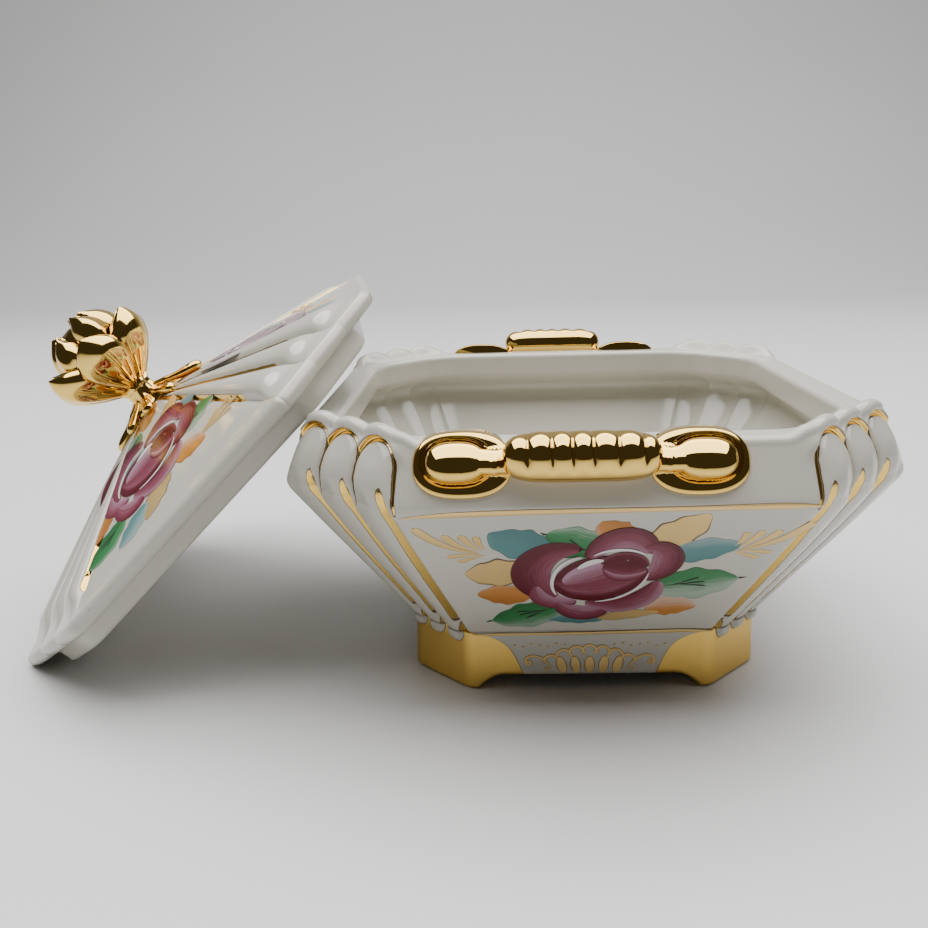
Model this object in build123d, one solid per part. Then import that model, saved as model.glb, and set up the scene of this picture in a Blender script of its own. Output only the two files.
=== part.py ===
from build123d import *
import os
from math import atan2, degrees, sqrt

# Porcelain trinket box: a square bowl with cut, gadrooned corners on a low plinth, two gilded
# handles, and a loose pyramid lid with a gilded bud finial. The lid leans against the bowl.
# Frame: millimetres, origin at the middle of the bowl's footprint on the table, +Z up,
# +X to the right and -Y towards the front handle.

# ---- Bowl ----
belly_width = 130.0          # across the flats at the widest level
belly_height = 50.4          # the widest level above the table
belly_corner_cut = 25.0      # leg of the cut corner at the belly
rim_width = 120.0
rim_height = 62.5
rim_corner_cut = 21.0
base_width = 78.0            # underside of the bowl, on the plinth
base_corner_cut = 12.5
bowl_wall = 4.2              # wall thickness, measured level
floor_thickness = 4.5
mouth_width = 107.0          # opening inside the rim
mouth_corner_cut = 15.5
lip_depth = 6.0              # height of the lip that the mouth passes through
gadroons_per_corner = 3
belly_bulge = 2.6            # how far a gadroon stands out of the cut corner
rim_bulge = 2.2
base_bulge = 1.0
crown_rise = 3.0             # gadroon tops above the flat rim

# ---- Plinth ----
plinth_width = 80.0
plinth_corner_cut = 13.0
plinth_height = 13.8
plinth_wall = 6.0
notch_length = 42.0          # gap under each side, between two bracket feet
notch_height = 3.2
notch_round = 2.5

# ---- Handles ----
grip_length = 28.5
grip_radius = 4.9
grip_end_round = 3.0
grip_sink = 0.7              # depth that the grip is let into the bowl's side
lug_length = 16.0
lug_height = 10.8
lug_depth = 5.6              # how far a lug stands out of the bowl's side
lug_drop = 1.4               # lugs sit this much lower than the grip
boss_length = 11.0
boss_radius = 3.4
boss_proud = 0.6             # boss axis behind the plaque's face
neck_radius = 2.8
handle_below_rim = 1.2       # grip axis below the flat rim
front_handle_shift = -4.5    # the hand-fitted handles are off centre
rear_handle_shift = -1.5
rear_handle_raise = 1.8

# ---- Lid ----
lid_width = 122.5
lid_corner_cut = 27.5
lid_edge = 4.0               # thickness of the lid's rim
lid_edge_round = 1.6
lid_edge_step = 2.5          # flat of the rim outside the pyramid
lid_rise = 24.2              # height of the pyramid's point above the lid's underside
lid_wall = 4.2               # upright thickness of the pyramid
lid_bulge = 1.6
crown_clearance = 0.6        # between the lid's edge and the gadroon tops
flange_clearance = 0.8       # between the flange and the mouth, each side
flange_depth = 4.8
flange_wall = 4.0
lean_angle = 44.8            # lean of the lid from level
lean_turn = 9.0              # the leaning lid is turned a little about the upright
lean_offset = 13.9           # the lid's centre towards the rear handle
lean_gap = 0.3               # between the lid and the bowl that it leans on

# ---- Finial ----
seat_width = 15.0            # flat on top of the pyramid
seat_corner_cut = 4.4
calyx_radius = 7.0
neck_height = 6.4
finial_neck_radius = 3.4
leaf_length = 10.5
leaf_radius = 1.5
leaf_root = 2.5              # depth of a leaf's root in the calyx
leaf_count = 8
cup_radius = 13.6
cup_base_radius = 5.5
cup_height = 16.5
cup_wall = 2.2
cup_lip_radius = 11.6
petal_count = 6
petal_groove = 1.0
bud_radius = 7.9
bud_height = 24.5            # bud's point above the neck


def octagon_points(width, cut, corner, bulge=0.0):
    """Ends and bulges of one cut corner, counted anticlockwise from corner 0 at +X +Y."""
    half = width / 2
    start = Vector(half, half - cut)
    end = Vector(half - cut, half)
    out = Vector(1, 1).normalized() * bulge
    points = []
    for step in range(gadroons_per_corner):
        a = start + (end - start) * (step / gadroons_per_corner)
        b = start + (end - start) * ((step + 1) / gadroons_per_corner)
        points.append((a, (a + b) * 0.5 + out, b))
    return [[p.rotate(Axis.Z, 90 * corner) for p in trio] for trio in points]


def plain_octagon(width, cut, z):
    """Level face with four straight sides and four straight cut corners."""
    outline = []
    for corner in range(4):
        trios = octagon_points(width, cut, corner)
        outline += [trios[0][0], trios[-1][2]]
    return Pos(0, 0, z) * make_face(Polyline(*outline, close=True))


def fluted_octagon(width, cut, bulge, z):
    """Level face whose cut corners are rows of outward arcs."""
    edges = []
    last = None
    for corner in range(4):
        trios = octagon_points(width, cut, corner, bulge)
        if last is not None:
            edges.append(Line(last, trios[0][0]))
        edges += [ThreePointArc(*trio) for trio in trios]
        last = trios[-1][2]
    edges.append(Line(last, octagon_points(width, cut, 0, bulge)[0][0]))
    return Pos(0, 0, z) * make_face(edges)


def prism(width, cut, z_low, z_high):
    """Upright block on a plain octagon."""
    return extrude(plain_octagon(width, cut, z_low), z_high - z_low, dir=(0, 0, 1))


def inset_cut(cut, inset):
    """Leg of the cut corner after every side moves in by inset."""
    return cut - (2 - sqrt(2)) * inset


def side_width(z):
    """Width of the bowl across its flats at a height."""
    if z >= belly_height:
        share = (z - belly_height) / (rim_height - belly_height)
        return belly_width + share * (rim_width - belly_width)
    share = (z - plinth_height) / (belly_height - plinth_height)
    return base_width + share * (belly_width - base_width)


def side_cut(z):
    """Leg of the bowl's cut corner at a height."""
    if z >= belly_height:
        share = (z - belly_height) / (rim_height - belly_height)
        return belly_corner_cut + share * (rim_corner_cut - belly_corner_cut)
    share = (z - plinth_height) / (belly_height - plinth_height)
    return base_corner_cut + share * (belly_corner_cut - base_corner_cut)


# ---- Bowl: fluted outside, plain inside, a lip round the mouth, and room above it for the lid ----
outside = loft([
    fluted_octagon(base_width, base_corner_cut, base_bulge, plinth_height),
    fluted_octagon(belly_width, belly_corner_cut, belly_bulge, belly_height),
    fluted_octagon(rim_width, rim_corner_cut, rim_bulge, rim_height),
], ruled=True)
crown = extrude(fluted_octagon(rim_width, rim_corner_cut, rim_bulge, rim_height), crown_rise, dir=(0, 0, 1))
lid_rest = prism(lid_width + 2 * crown_clearance, lid_corner_cut + crown_clearance * (sqrt(2) - 1),
                 rim_height, rim_height + 2 * lug_height)


def cavity_level(z):
    """Plain octagon inside the wall at a height."""
    return plain_octagon(side_width(z) - 2 * bowl_wall, inset_cut(side_cut(z), bowl_wall), z)


floor_level = plinth_height + floor_thickness
lip_level = rim_height - lip_depth
cavity = loft([cavity_level(floor_level), cavity_level(belly_height), cavity_level(lip_level)], ruled=True)
mouth = prism(mouth_width, mouth_corner_cut, lip_level - 1, rim_height + 1)
crown -= lid_rest
bowl = outside + crown - cavity - mouth

# ---- Plinth: an open octagonal ring, notched under each side to leave four bracket feet ----
recess = prism(plinth_width - 2 * plinth_wall, inset_cut(plinth_corner_cut, plinth_wall), -1, plinth_height + 1)
ring = prism(plinth_width, plinth_corner_cut, 0, plinth_height) - recess
notch_rows = Box(notch_length, 2 * plinth_width, 2 * notch_height)
notch_rows = fillet(notch_rows.edges().filter_by(Axis.Y), notch_round)
foot_plinth = ring - notch_rows - Rot(0, 0, 90) * notch_rows


# ---- Handles: a rounded grip between two bossed lugs, fitted to the outside of the upper band ----
def handle(shift, raised):
    """Grip, left lug and right lug of the front handle, meeting at the grip's ends."""
    grip_z = rim_height - handle_below_rim + raised
    face_y = -side_width(min(grip_z, rim_height)) / 2
    grip_y = face_y - grip_radius + grip_sink
    grip = Rot(0, 90, 0) * Cylinder(grip_radius, grip_length)
    grip = Pos(shift, grip_y, grip_z) * fillet(grip.edges().filter_by(GeomType.CIRCLE), grip_end_round)
    lug_z = grip_z - lug_drop
    lugs = []
    for side in (-1, 1):
        plaque = RectangleRounded(lug_length, lug_height, lug_height / 2 - 0.4)
        plaque = extrude(Plane.XZ * plaque, lug_depth + bowl_wall)
        boss = Rot(0, 90, 0) * Cylinder(boss_radius, boss_length)
        boss = fillet(boss.edges().filter_by(GeomType.CIRCLE), boss_radius * 0.8)
        neck = Pos(-side * lug_length / 4, 0, 0) * Rot(0, 90, 0) * Cylinder(neck_radius, lug_length / 2)
        lug = Pos(0, bowl_wall, 0) * plaque + Pos(0, boss_proud - lug_depth, 0) * boss
        lug += Pos(0, neck_radius - lug_depth, 0) * neck
        middle = shift + side * (grip_length + lug_length) / 2
        lugs.append(Pos(middle, face_y, lug_z) * lug - outside - crown - lid_rest)
    return grip - outside - crown - lid_rest, lugs[0], lugs[1]


front_grip, front_left_lug, front_right_lug = handle(front_handle_shift, 0.0)
turned = [Rot(0, 0, 180) * piece for piece in handle(-rear_handle_shift, rear_handle_raise)]
rear_grip, rear_left_lug, rear_right_lug = turned

# ---- Lid, in its own frame: the underside of its rim is z = 0 and its axis is upright ----
pyramid_width = lid_width - 2 * lid_edge_step
slope = (lid_rise - lid_edge) / (pyramid_width / 2)
seat_level = lid_rise - slope * seat_width / 2
pyramid_cut = inset_cut(lid_corner_cut, lid_edge_step)
edge_slab = prism(lid_width, lid_corner_cut, 0, lid_edge)
edge_slab = fillet(edge_slab.edges().filter_by(Plane.XY), lid_edge_round)
pyramid = loft([
    fluted_octagon(pyramid_width, pyramid_cut, lid_bulge, lid_edge - lid_edge_round),
    fluted_octagon(seat_width, seat_corner_cut, 0.3, seat_level),
], ruled=True)
flange_width = mouth_width - 2 * flange_clearance
flange_cut = inset_cut(mouth_corner_cut, flange_clearance)
hollow_width = flange_width - 2 * flange_wall
hollow_cut = inset_cut(flange_cut, flange_wall)
hollow_shoulder = lid_edge + slope * (pyramid_width - hollow_width) / 2 - lid_wall
hollow_top_width = seat_width
hollow_top = seat_level - lid_wall
hollow = prism(hollow_width, hollow_cut, -1, hollow_shoulder)
hollow += loft([
    plain_octagon(hollow_width, hollow_cut, hollow_shoulder),
    plain_octagon(hollow_top_width, seat_corner_cut, hollow_top),
], ruled=True)
lid_shell = edge_slab + pyramid - hollow
flange_hole = prism(hollow_width, hollow_cut, -flange_depth - 1, 1)
lid_flange = prism(flange_width, flange_cut, -flange_depth, 0) - flange_hole

# ---- Finial: calyx with leaves, a cup of petals and the bud inside it, stacked face to face ----
with BuildPart() as calyx_builder:
    with BuildSketch(Plane.XZ):
        with BuildLine():
            Line((0, seat_level), (calyx_radius, seat_level))
            Line((calyx_radius, seat_level), (calyx_radius, seat_level + 1.0))
            ThreePointArc((calyx_radius, seat_level + 1.0), (finial_neck_radius + 0.8, seat_level + 2.6),
                          (finial_neck_radius, seat_level + neck_height))
            Line((finial_neck_radius, seat_level + neck_height), (0, seat_level + neck_height))
            Line((0, seat_level + neck_height), (0, seat_level))
        make_face()
    revolve(axis=Axis.Z)
calyx = calyx_builder.part
leaf = Rot(0, 90, 0) * Cylinder(leaf_radius, leaf_length)
leaf += Pos(leaf_length / 2, 0, 0) * Sphere(leaf_radius)
face_angle = degrees(atan2(slope, 1))
leaves = []
for index in range(leaf_count):
    tilted = Rot(0, face_angle, 0) * Pos(leaf_length / 2, 0, 0) * leaf
    rooted = Pos(calyx_radius - leaf_root, 0, seat_level + leaf_radius) * tilted
    leaves.append(Rot(0, 0, index * 360 / leaf_count) * rooted)
finial_calyx = calyx + leaves - lid_shell

cup_level = seat_level + neck_height
cup_top = cup_level + cup_height
with BuildPart() as cup_builder:
    with BuildSketch(Plane.XZ):
        with BuildLine():
            Line((0, cup_level), (cup_base_radius, cup_level))
            ThreePointArc((cup_base_radius, cup_level), (cup_radius, cup_level + cup_height * 0.45),
                          (cup_lip_radius, cup_top))
            Line((cup_lip_radius, cup_top), (cup_lip_radius - cup_wall, cup_top))
            ThreePointArc((cup_lip_radius - cup_wall, cup_top),
                          (cup_radius - cup_wall, cup_level + cup_height * 0.5),
                          (cup_base_radius + 1.5, cup_level + cup_wall))
            Line((cup_base_radius + 1.5, cup_level + cup_wall), (0, cup_level + cup_wall))
            Line((0, cup_level + cup_wall), (0, cup_level))
        make_face()
    revolve(axis=Axis.Z)
finial_petals = cup_builder.part
for index in range(petal_count):
    groove = Cylinder(petal_groove * 1.6, cup_height)
    groove = Pos(cup_radius + petal_groove, 0, cup_level + cup_height * 0.75) * groove
    finial_petals -= Rot(0, 0, index * 360 / petal_count) * groove

bud_base = cup_level + cup_wall
with BuildPart() as bud_builder:
    with BuildSketch(Plane.XZ):
        with BuildLine():
            Line((0, bud_base), (bud_radius * 0.55, bud_base))
            Bezier((bud_radius * 0.55, bud_base), (bud_radius * 1.4, bud_base + bud_height * 0.3),
                   (bud_radius, bud_base + bud_height * 0.7), (0, cup_level + bud_height))
            Line((0, cup_level + bud_height), (0, bud_base))
        make_face()
    revolve(axis=Axis.Z)
finial_bud = bud_builder.part

# ---- The lid leans: its rim stands on the table and its underside rests on the bowl ----
lid_pieces = {
    "lid_shell": lid_shell,
    "lid_flange": lid_flange,
    "finial_calyx": finial_calyx,
    "finial_petals": finial_petals,
    "finial_bud": finial_bud,
}
lean = Rot(0, 0, lean_turn) * Rot(0, -lean_angle, 0)
standing = (lean * lid_shell).bounding_box()
start_x = -(belly_width + lid_width)
lean_place = Pos(start_x, lean_offset, -standing.min.Z)
resting = Compound([lean * lid_shell, lean * lid_flange])
for _ in range(12):
    space = (lean_place * resting).distance_to(bowl)
    if space - lean_gap < 0.005:
        break
    lean_place = Pos(space - lean_gap, 0, 0) * lean_place

nodes = {
    "bowl": bowl,
    "foot_plinth": foot_plinth,
    "front_grip": front_grip,
    "front_left_lug": front_left_lug,
    "front_right_lug": front_right_lug,
    "rear_grip": rear_grip,
    "rear_left_lug": rear_left_lug,
    "rear_right_lug": rear_right_lug,
}
for name, piece in lid_pieces.items():
    nodes[name] = lean_place * lean * piece

os.makedirs("parts", exist_ok=True)
for name, piece in nodes.items():
    export_step(piece, f"parts/{name}.step")
print("lid placed at", lean_place.position)
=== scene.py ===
import math

import bpy
import numpy as np
from bpy.props import FloatProperty, FloatVectorProperty, IntProperty, PointerProperty
from mathutils import Matrix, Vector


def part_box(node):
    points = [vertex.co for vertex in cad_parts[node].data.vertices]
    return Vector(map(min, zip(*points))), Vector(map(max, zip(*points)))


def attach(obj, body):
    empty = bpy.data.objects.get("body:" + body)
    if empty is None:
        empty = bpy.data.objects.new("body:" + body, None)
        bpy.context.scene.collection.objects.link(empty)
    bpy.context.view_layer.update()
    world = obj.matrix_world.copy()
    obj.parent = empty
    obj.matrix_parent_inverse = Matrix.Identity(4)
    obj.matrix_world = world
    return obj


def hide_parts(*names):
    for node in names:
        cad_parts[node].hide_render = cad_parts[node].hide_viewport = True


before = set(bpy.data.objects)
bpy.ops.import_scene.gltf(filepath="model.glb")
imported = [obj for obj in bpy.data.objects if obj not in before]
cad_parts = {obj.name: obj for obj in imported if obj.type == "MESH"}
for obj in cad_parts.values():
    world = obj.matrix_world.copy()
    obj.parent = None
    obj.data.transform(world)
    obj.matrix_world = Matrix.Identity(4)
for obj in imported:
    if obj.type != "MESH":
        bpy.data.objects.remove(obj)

bl_info = {
    "name": "Porcelain Trinket Box",
    "version": (1, 0, 0),
    "blender": (4, 5, 0),
    "location": "View3D > Sidebar > Trinket Box",
    "description": "Makes a gilded, hand-painted porcelain trinket box around its packed model",
    "category": "Add Mesh",
}

MM = 0.001
TAU = 2 * math.pi
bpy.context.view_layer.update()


def span(node, axis):
    """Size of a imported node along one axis, to the nearest half millimetre, in metres."""
    low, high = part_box(node)
    return round((high[axis] - low[axis]) * 2000) / 2000


# ---------------------------------------------------------------- settings

class TrinketBoxShape(bpy.types.PropertyGroup):
    """Sizes of the box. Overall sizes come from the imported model."""
    belly_width: FloatProperty(name="Belly width", description="Across the flats at the widest level",
                               default=span("bowl", 0), unit="LENGTH", subtype="DISTANCE")
    plinth_width: FloatProperty(name="Plinth width", description="Across the flats of the plinth",
                                default=span("foot_plinth", 0), unit="LENGTH", subtype="DISTANCE")
    plinth_height: FloatProperty(name="Plinth height", description="Top of the plinth above the table",
                                 default=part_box("foot_plinth")[1][2], unit="LENGTH", subtype="DISTANCE")
    belly_height: FloatProperty(name="Belly height", description="Widest level above the table",
                                default=0.0504, unit="LENGTH", subtype="DISTANCE")
    rim_width: FloatProperty(name="Rim width", description="Across the flats of the bowl's rim",
                             default=0.120, unit="LENGTH", subtype="DISTANCE")
    rim_height: FloatProperty(name="Rim height", description="Flat rim above the table",
                              default=0.0625, unit="LENGTH", subtype="DISTANCE")
    crown_rise: FloatProperty(name="Crown rise", description="Gadroon tops above the flat rim",
                              default=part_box("bowl")[1][2] - 0.0625, unit="LENGTH", subtype="DISTANCE")
    mouth_width: FloatProperty(name="Mouth width", description="Opening inside the rim",
                               default=0.107, unit="LENGTH", subtype="DISTANCE")
    lid_width: FloatProperty(name="Lid width", description="Across the flats of the lid",
                             default=0.1225, unit="LENGTH", subtype="DISTANCE")
    lid_rise: FloatProperty(name="Lid rise", description="Point of the pyramid above the lid's underside",
                            default=0.0242, unit="LENGTH", subtype="DISTANCE")
    lean_angle: FloatProperty(name="Lean", description="Lean of the lid from level",
                              default=math.radians(44.8), unit="ROTATION", subtype="ANGLE")
    lean_turn: FloatProperty(name="Turn", description="Turn of the leaning lid about the upright",
                             default=math.radians(9.0), unit="ROTATION", subtype="ANGLE")
    grip_ribs: IntProperty(name="Grip ribs", description="Ribs on the upper half of each grip", default=7,
                           min=1)
    petals: IntProperty(name="Petals", description="Outer petals of the finial", default=6, min=4)


class TrinketBoxColours(bpy.types.PropertyGroup):
    """Colours of the glaze, the gilding and the painted flowers."""
    glaze: FloatVectorProperty(name="Glaze", description="White glaze", subtype="COLOR", size=3,
                               default=(0.555, 0.535, 0.465), min=0, max=1)
    gold: FloatVectorProperty(name="Gold", description="Burnished gilding", subtype="COLOR", size=3,
                              default=(0.80, 0.53, 0.135), min=0, max=1)
    # Brown rim round the gilding: the thin gold's brown edge, and painted shade beside the gold in the bowl's
    # grooves.
    gold_rim_and_shade: FloatVectorProperty(name="Gold line", description="Brown edge of a gilded line",
                                   subtype="COLOR",
                                   size=3, default=(0.10, 0.045, 0.02), min=0, max=1)
    rose_dark: FloatVectorProperty(name="Rose dark", description="Deep side of a petal stroke",
                                   subtype="COLOR",
                                   size=3, default=(0.100, 0.008, 0.017), min=0, max=1)
    rose_mid: FloatVectorProperty(name="Rose", description="Body of a petal stroke", subtype="COLOR",
                                  size=3, default=(0.21, 0.045, 0.074), min=0, max=1)
    rose_light: FloatVectorProperty(name="Rose light", description="Pale side of a petal stroke",
                                    subtype="COLOR",
                                    size=3, default=(0.43, 0.26, 0.34), min=0, max=1)
    leaf_green: FloatVectorProperty(name="Green", description="Green leaves", subtype="COLOR",
                                    size=3, default=(0.035, 0.20, 0.065), min=0, max=1)
    leaf_teal: FloatVectorProperty(name="Teal", description="Teal leaves", subtype="COLOR",
                                   size=3, default=(0.085, 0.225, 0.225), min=0, max=1)
    leaf_orange: FloatVectorProperty(name="Orange", description="Orange leaves", subtype="COLOR",
                                     size=3, default=(0.50, 0.20, 0.04), min=0, max=1)
    backdrop: FloatVectorProperty(name="Backdrop", description="Table and backdrop", subtype="COLOR",
                                  size=3, default=(0.72, 0.72, 0.72), min=0, max=1)


class TrinketBoxStudio(bpy.types.PropertyGroup):
    """Light and camera."""
    sky_strength: FloatProperty(name="Room light", description="Strength of the even light of the room",
                                default=0.05, min=0)
    lamp_power: FloatProperty(name="Overhead light", description="Power of the overhead soft light",
                              default=25.0, min=0, unit="POWER")
    camera_place: FloatVectorProperty(name="Camera", description="Place of the camera", size=3,
                                      default=(-0.02087, -0.23021, 0.10339), subtype="TRANSLATION",
                                      unit="LENGTH")
    camera_yaw: FloatProperty(name="Yaw", description="Camera turned right from straight ahead",
                              default=math.radians(-1.825), unit="ROTATION", subtype="ANGLE")
    camera_pitch: FloatProperty(name="Pitch", description="Camera tipped down from level",
                                default=math.radians(14.868), unit="ROTATION", subtype="ANGLE")
    camera_roll: FloatProperty(name="Roll", description="Camera rolled about its view",
                               default=math.radians(-1.53), unit="ROTATION", subtype="ANGLE")
    lens: FloatProperty(name="Lens", description="Focal length on a 36 mm wide sensor",
                        default=36.08, min=1, unit="CAMERA")


# ---------------------------------------------------------------- small tools

def ease(t):
    """Smooth step from 0 to 1: 3t^2 - 2t^3 of t held between 0 and 1."""
    t = np.clip(t, 0.0, 1.0)
    return t * t * (3 - 2 * t)


def surface(name, points, start=None, end=None, close_rows=False, data=None):
    """Mesh object from a grid of points in millimetres, rows by columns by 3, closed along the columns.

    start and end are the poles that the first and the last row run to. close_rows joins the last row to
    the first instead. data holds one number per grid point by attribute name. Faces are turned so that
    the enclosed volume, a third of the sum of point dot area vector, is positive.
    """
    rows, cols = points.shape[:2]
    verts = points.reshape(-1, 3)
    index = np.arange(rows * cols).reshape(rows, cols)
    nxt = np.roll(index, -1, axis=1)
    if close_rows:
        low, low_next = index, nxt
        high, high_next = np.roll(index, -1, axis=0), np.roll(nxt, -1, axis=0)
    else:
        low, low_next, high, high_next = index[:-1], nxt[:-1], index[1:], nxt[1:]
    quads = np.stack([low, low_next, high_next, high], -1).reshape(-1, 4)
    tris = []
    poles = [p for p in (start, end) if p is not None]
    if start is not None:
        tris.append(np.stack([np.full(cols, rows * cols), nxt[0], index[0]], -1))
    if end is not None:
        tris.append(np.stack([np.full(cols, rows * cols + len(poles) - 1), index[-1], nxt[-1]], -1))
    if poles:
        verts = np.vstack([verts, np.array(poles, float)])
    tris = np.vstack(tris) if tris else np.zeros((0, 3), int)
    a, b, c, d = (verts[quads[:, i]] for i in range(4))
    volume = np.einsum("ij,ij->", a, np.cross(b, c)) + np.einsum("ij,ij->", a, np.cross(c, d))
    if len(tris):
        p, q, r = (verts[tris[:, i]] for i in range(3))
        volume += np.einsum("ij,ij->", p, np.cross(q, r))
    if volume < 0:
        quads, tris = quads[:, ::-1], tris[:, ::-1]
    mesh = bpy.data.meshes.new(name)
    mesh.from_pydata((verts * MM).tolist(), [], quads.tolist() + tris.tolist())
    mesh.polygons.foreach_set("use_smooth", np.ones(len(mesh.polygons), bool))
    for key, values in (data or {}).items():
        flat = np.asarray(values, float).reshape(-1)
        if poles:
            first, last = flat[:cols].mean(), flat[-cols:].mean()
            ends = ([first] if start is not None else []) + ([last] if end is not None else [])
            flat = np.concatenate([flat, ends])
        attribute = mesh.attributes.new(key, "FLOAT", "POINT")
        attribute.data.foreach_set("value", flat.astype(np.float32))
    mesh.update()
    obj = bpy.data.objects.new(name, mesh)
    bpy.context.scene.collection.objects.link(obj)
    return obj


def joined(name, parts):
    """One object from several made by surface, all at the origin."""
    bpy.ops.object.select_all(action="DESELECT")
    for part in parts:
        part.select_set(True)
    bpy.context.view_layer.objects.active = parts[0]
    if len(parts) > 1:
        bpy.ops.object.join()
    parts[0].name = name
    parts[0].data.name = name
    parts[0].select_set(False)
    return parts[0]


def finish_piece(obj, material, body, slot, *nodes):
    """Gives a piece its material and its body, and hides the imported nodes it stands for. slot is not used.
    """
    obj.data.materials.clear()
    obj.data.materials.append(material)
    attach(obj, body)
    if nodes:
        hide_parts(*nodes)
    return obj


# ---------------------------------------------------------------- cut-cornered ring

GADROONS = 3


def crowded(count, pull=0.78):
    """Shares from 0 up to 1, crowded towards both ends: t - pull sin(2 pi t) / 2 pi."""
    t = np.arange(count) / count
    return t - pull * np.sin(TAU * t) / TAU


def ring_columns(flat_count, lobe_count):
    """For one turn of columns: quarter, whether it is on a cut corner, and its share along that side."""
    flat = crowded(flat_count, 0.6)
    lobes = np.concatenate([(k + crowded(lobe_count)) / GADROONS for k in range(GADROONS)])
    corner = np.concatenate([np.zeros(flat_count), np.ones(len(lobes))])
    share = np.concatenate([flat, lobes])
    quarter = np.repeat(np.arange(4), len(share))
    return quarter, np.tile(corner, 4), np.tile(share, 4)


def ring(columns, half, cut, rounding):
    """Points and outward normals of cut-cornered squares, one row for each level.

    A side runs from corner to corner, and a cut corner is a chord of leg cut. Within rounding of a vertex V
    the outline is the parabola V - r (1-t)^2 before + r t^2 after. Also gives s, the place along the
    corner in gadroons, from 0 to 3 on the corner itself, and the width of one gadroon.
    """
    quarter, corner, share = columns
    half, cut, rounding = (np.asarray(v, float).reshape(-1, 1) for v in (half, cut, rounding))
    flat_length = 2 * (half - cut)
    chord = cut * math.sqrt(2)
    on = corner[None, :] > 0.5
    length = np.where(on, chord, flat_length)
    root = 1 / math.sqrt(2)
    direction = np.where(on[..., None], np.array([-root, root]), np.array([0.0, 1.0]))
    start_y = np.where(on, half - cut, -(half - cut))
    along = share[None, :] * length
    x = half + direction[..., 0] * along
    y = start_y + direction[..., 1] * along
    tangent = direction.copy()
    r = np.minimum(rounding, 0.49 * np.minimum(flat_length, chord))
    # the vertex ahead: this side turns into the next one
    turn_after = np.where(on[..., None], np.array([-1.0, 0.0]), np.array([-root, root]))
    turn_before = np.where(on[..., None], np.array([0.0, 1.0]), np.array([root, root]))
    for ahead, side in ((True, turn_after), (False, turn_before)):
        room = length - along if ahead else along
        near = room < r
        t = np.where(ahead, (r - room) / (2 * r + 1e-9), (room + r) / (2 * r + 1e-9))
        before = direction if ahead else side
        after = side if ahead else direction
        vx = half + direction[..., 0] * (length if ahead else 0)
        vy = start_y + direction[..., 1] * (length if ahead else 0)
        bx = vx - r * (1 - t) ** 2 * before[..., 0] + r * t ** 2 * after[..., 0]
        by = vy - r * (1 - t) ** 2 * before[..., 1] + r * t ** 2 * after[..., 1]
        x, y = np.where(near, bx, x), np.where(near, by, y)
        bent = (1 - t)[..., None] * before + t[..., None] * after
        tangent = np.where(near[..., None], bent, tangent)
    tangent = tangent / np.linalg.norm(tangent, axis=-1, keepdims=True)
    angle = quarter * math.pi / 2
    c, s = np.cos(angle)[None, :], np.sin(angle)[None, :]
    points = np.stack([x * c - y * s, x * s + y * c], -1)
    nx, ny = tangent[..., 1], -tangent[..., 0]
    normals = np.stack([nx * c - ny * s, nx * s + ny * c], -1)
    width = chord / GADROONS
    past = np.where(share[None, :] < 0.5, along, along - length)
    place = np.where(on, share[None, :] * GADROONS,
                     np.where(past >= 0, GADROONS + past / width, past / width))
    sign = np.where((quarter[None, :] + np.where(on | (past < 0), 0, -1)) % 2 == 0, -1.0, 1.0)
    return points, normals, place, width, sign * np.ones_like(place)


def lobe(place, power=0.55):
    """Row of rounded ribs: |sin(pi s)|^power between 0 and 3, and 0 outside."""
    inside = (place > 0) & (place < GADROONS)
    return np.where(inside, np.abs(np.sin(math.pi * place)) ** power, 0.0)


def groove(distance, half_width):
    """Valley across a groove: exp of minus the square of distance over half-width."""
    return np.exp(-(distance / half_width) ** 2)


# ---------------------------------------------------------------- bowl

LOWER_SHIFT = 0.17       # lower grooves stand this share of a gadroon past the upper ones
ARCH_TOP = 62.4          # top of the gilded arches above the table, mm
LAST_LOWER = 3.06


def lower_grooves(sign):
    """Places of the four lower grooves of a corner, counted away from the front and rear panels."""
    forward = np.array([LOWER_SHIFT, 1 + LOWER_SHIFT, 2 + LOWER_SHIFT, LAST_LOWER])
    return [np.where(sign > 0, g, GADROONS - g) for g in forward]


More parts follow.
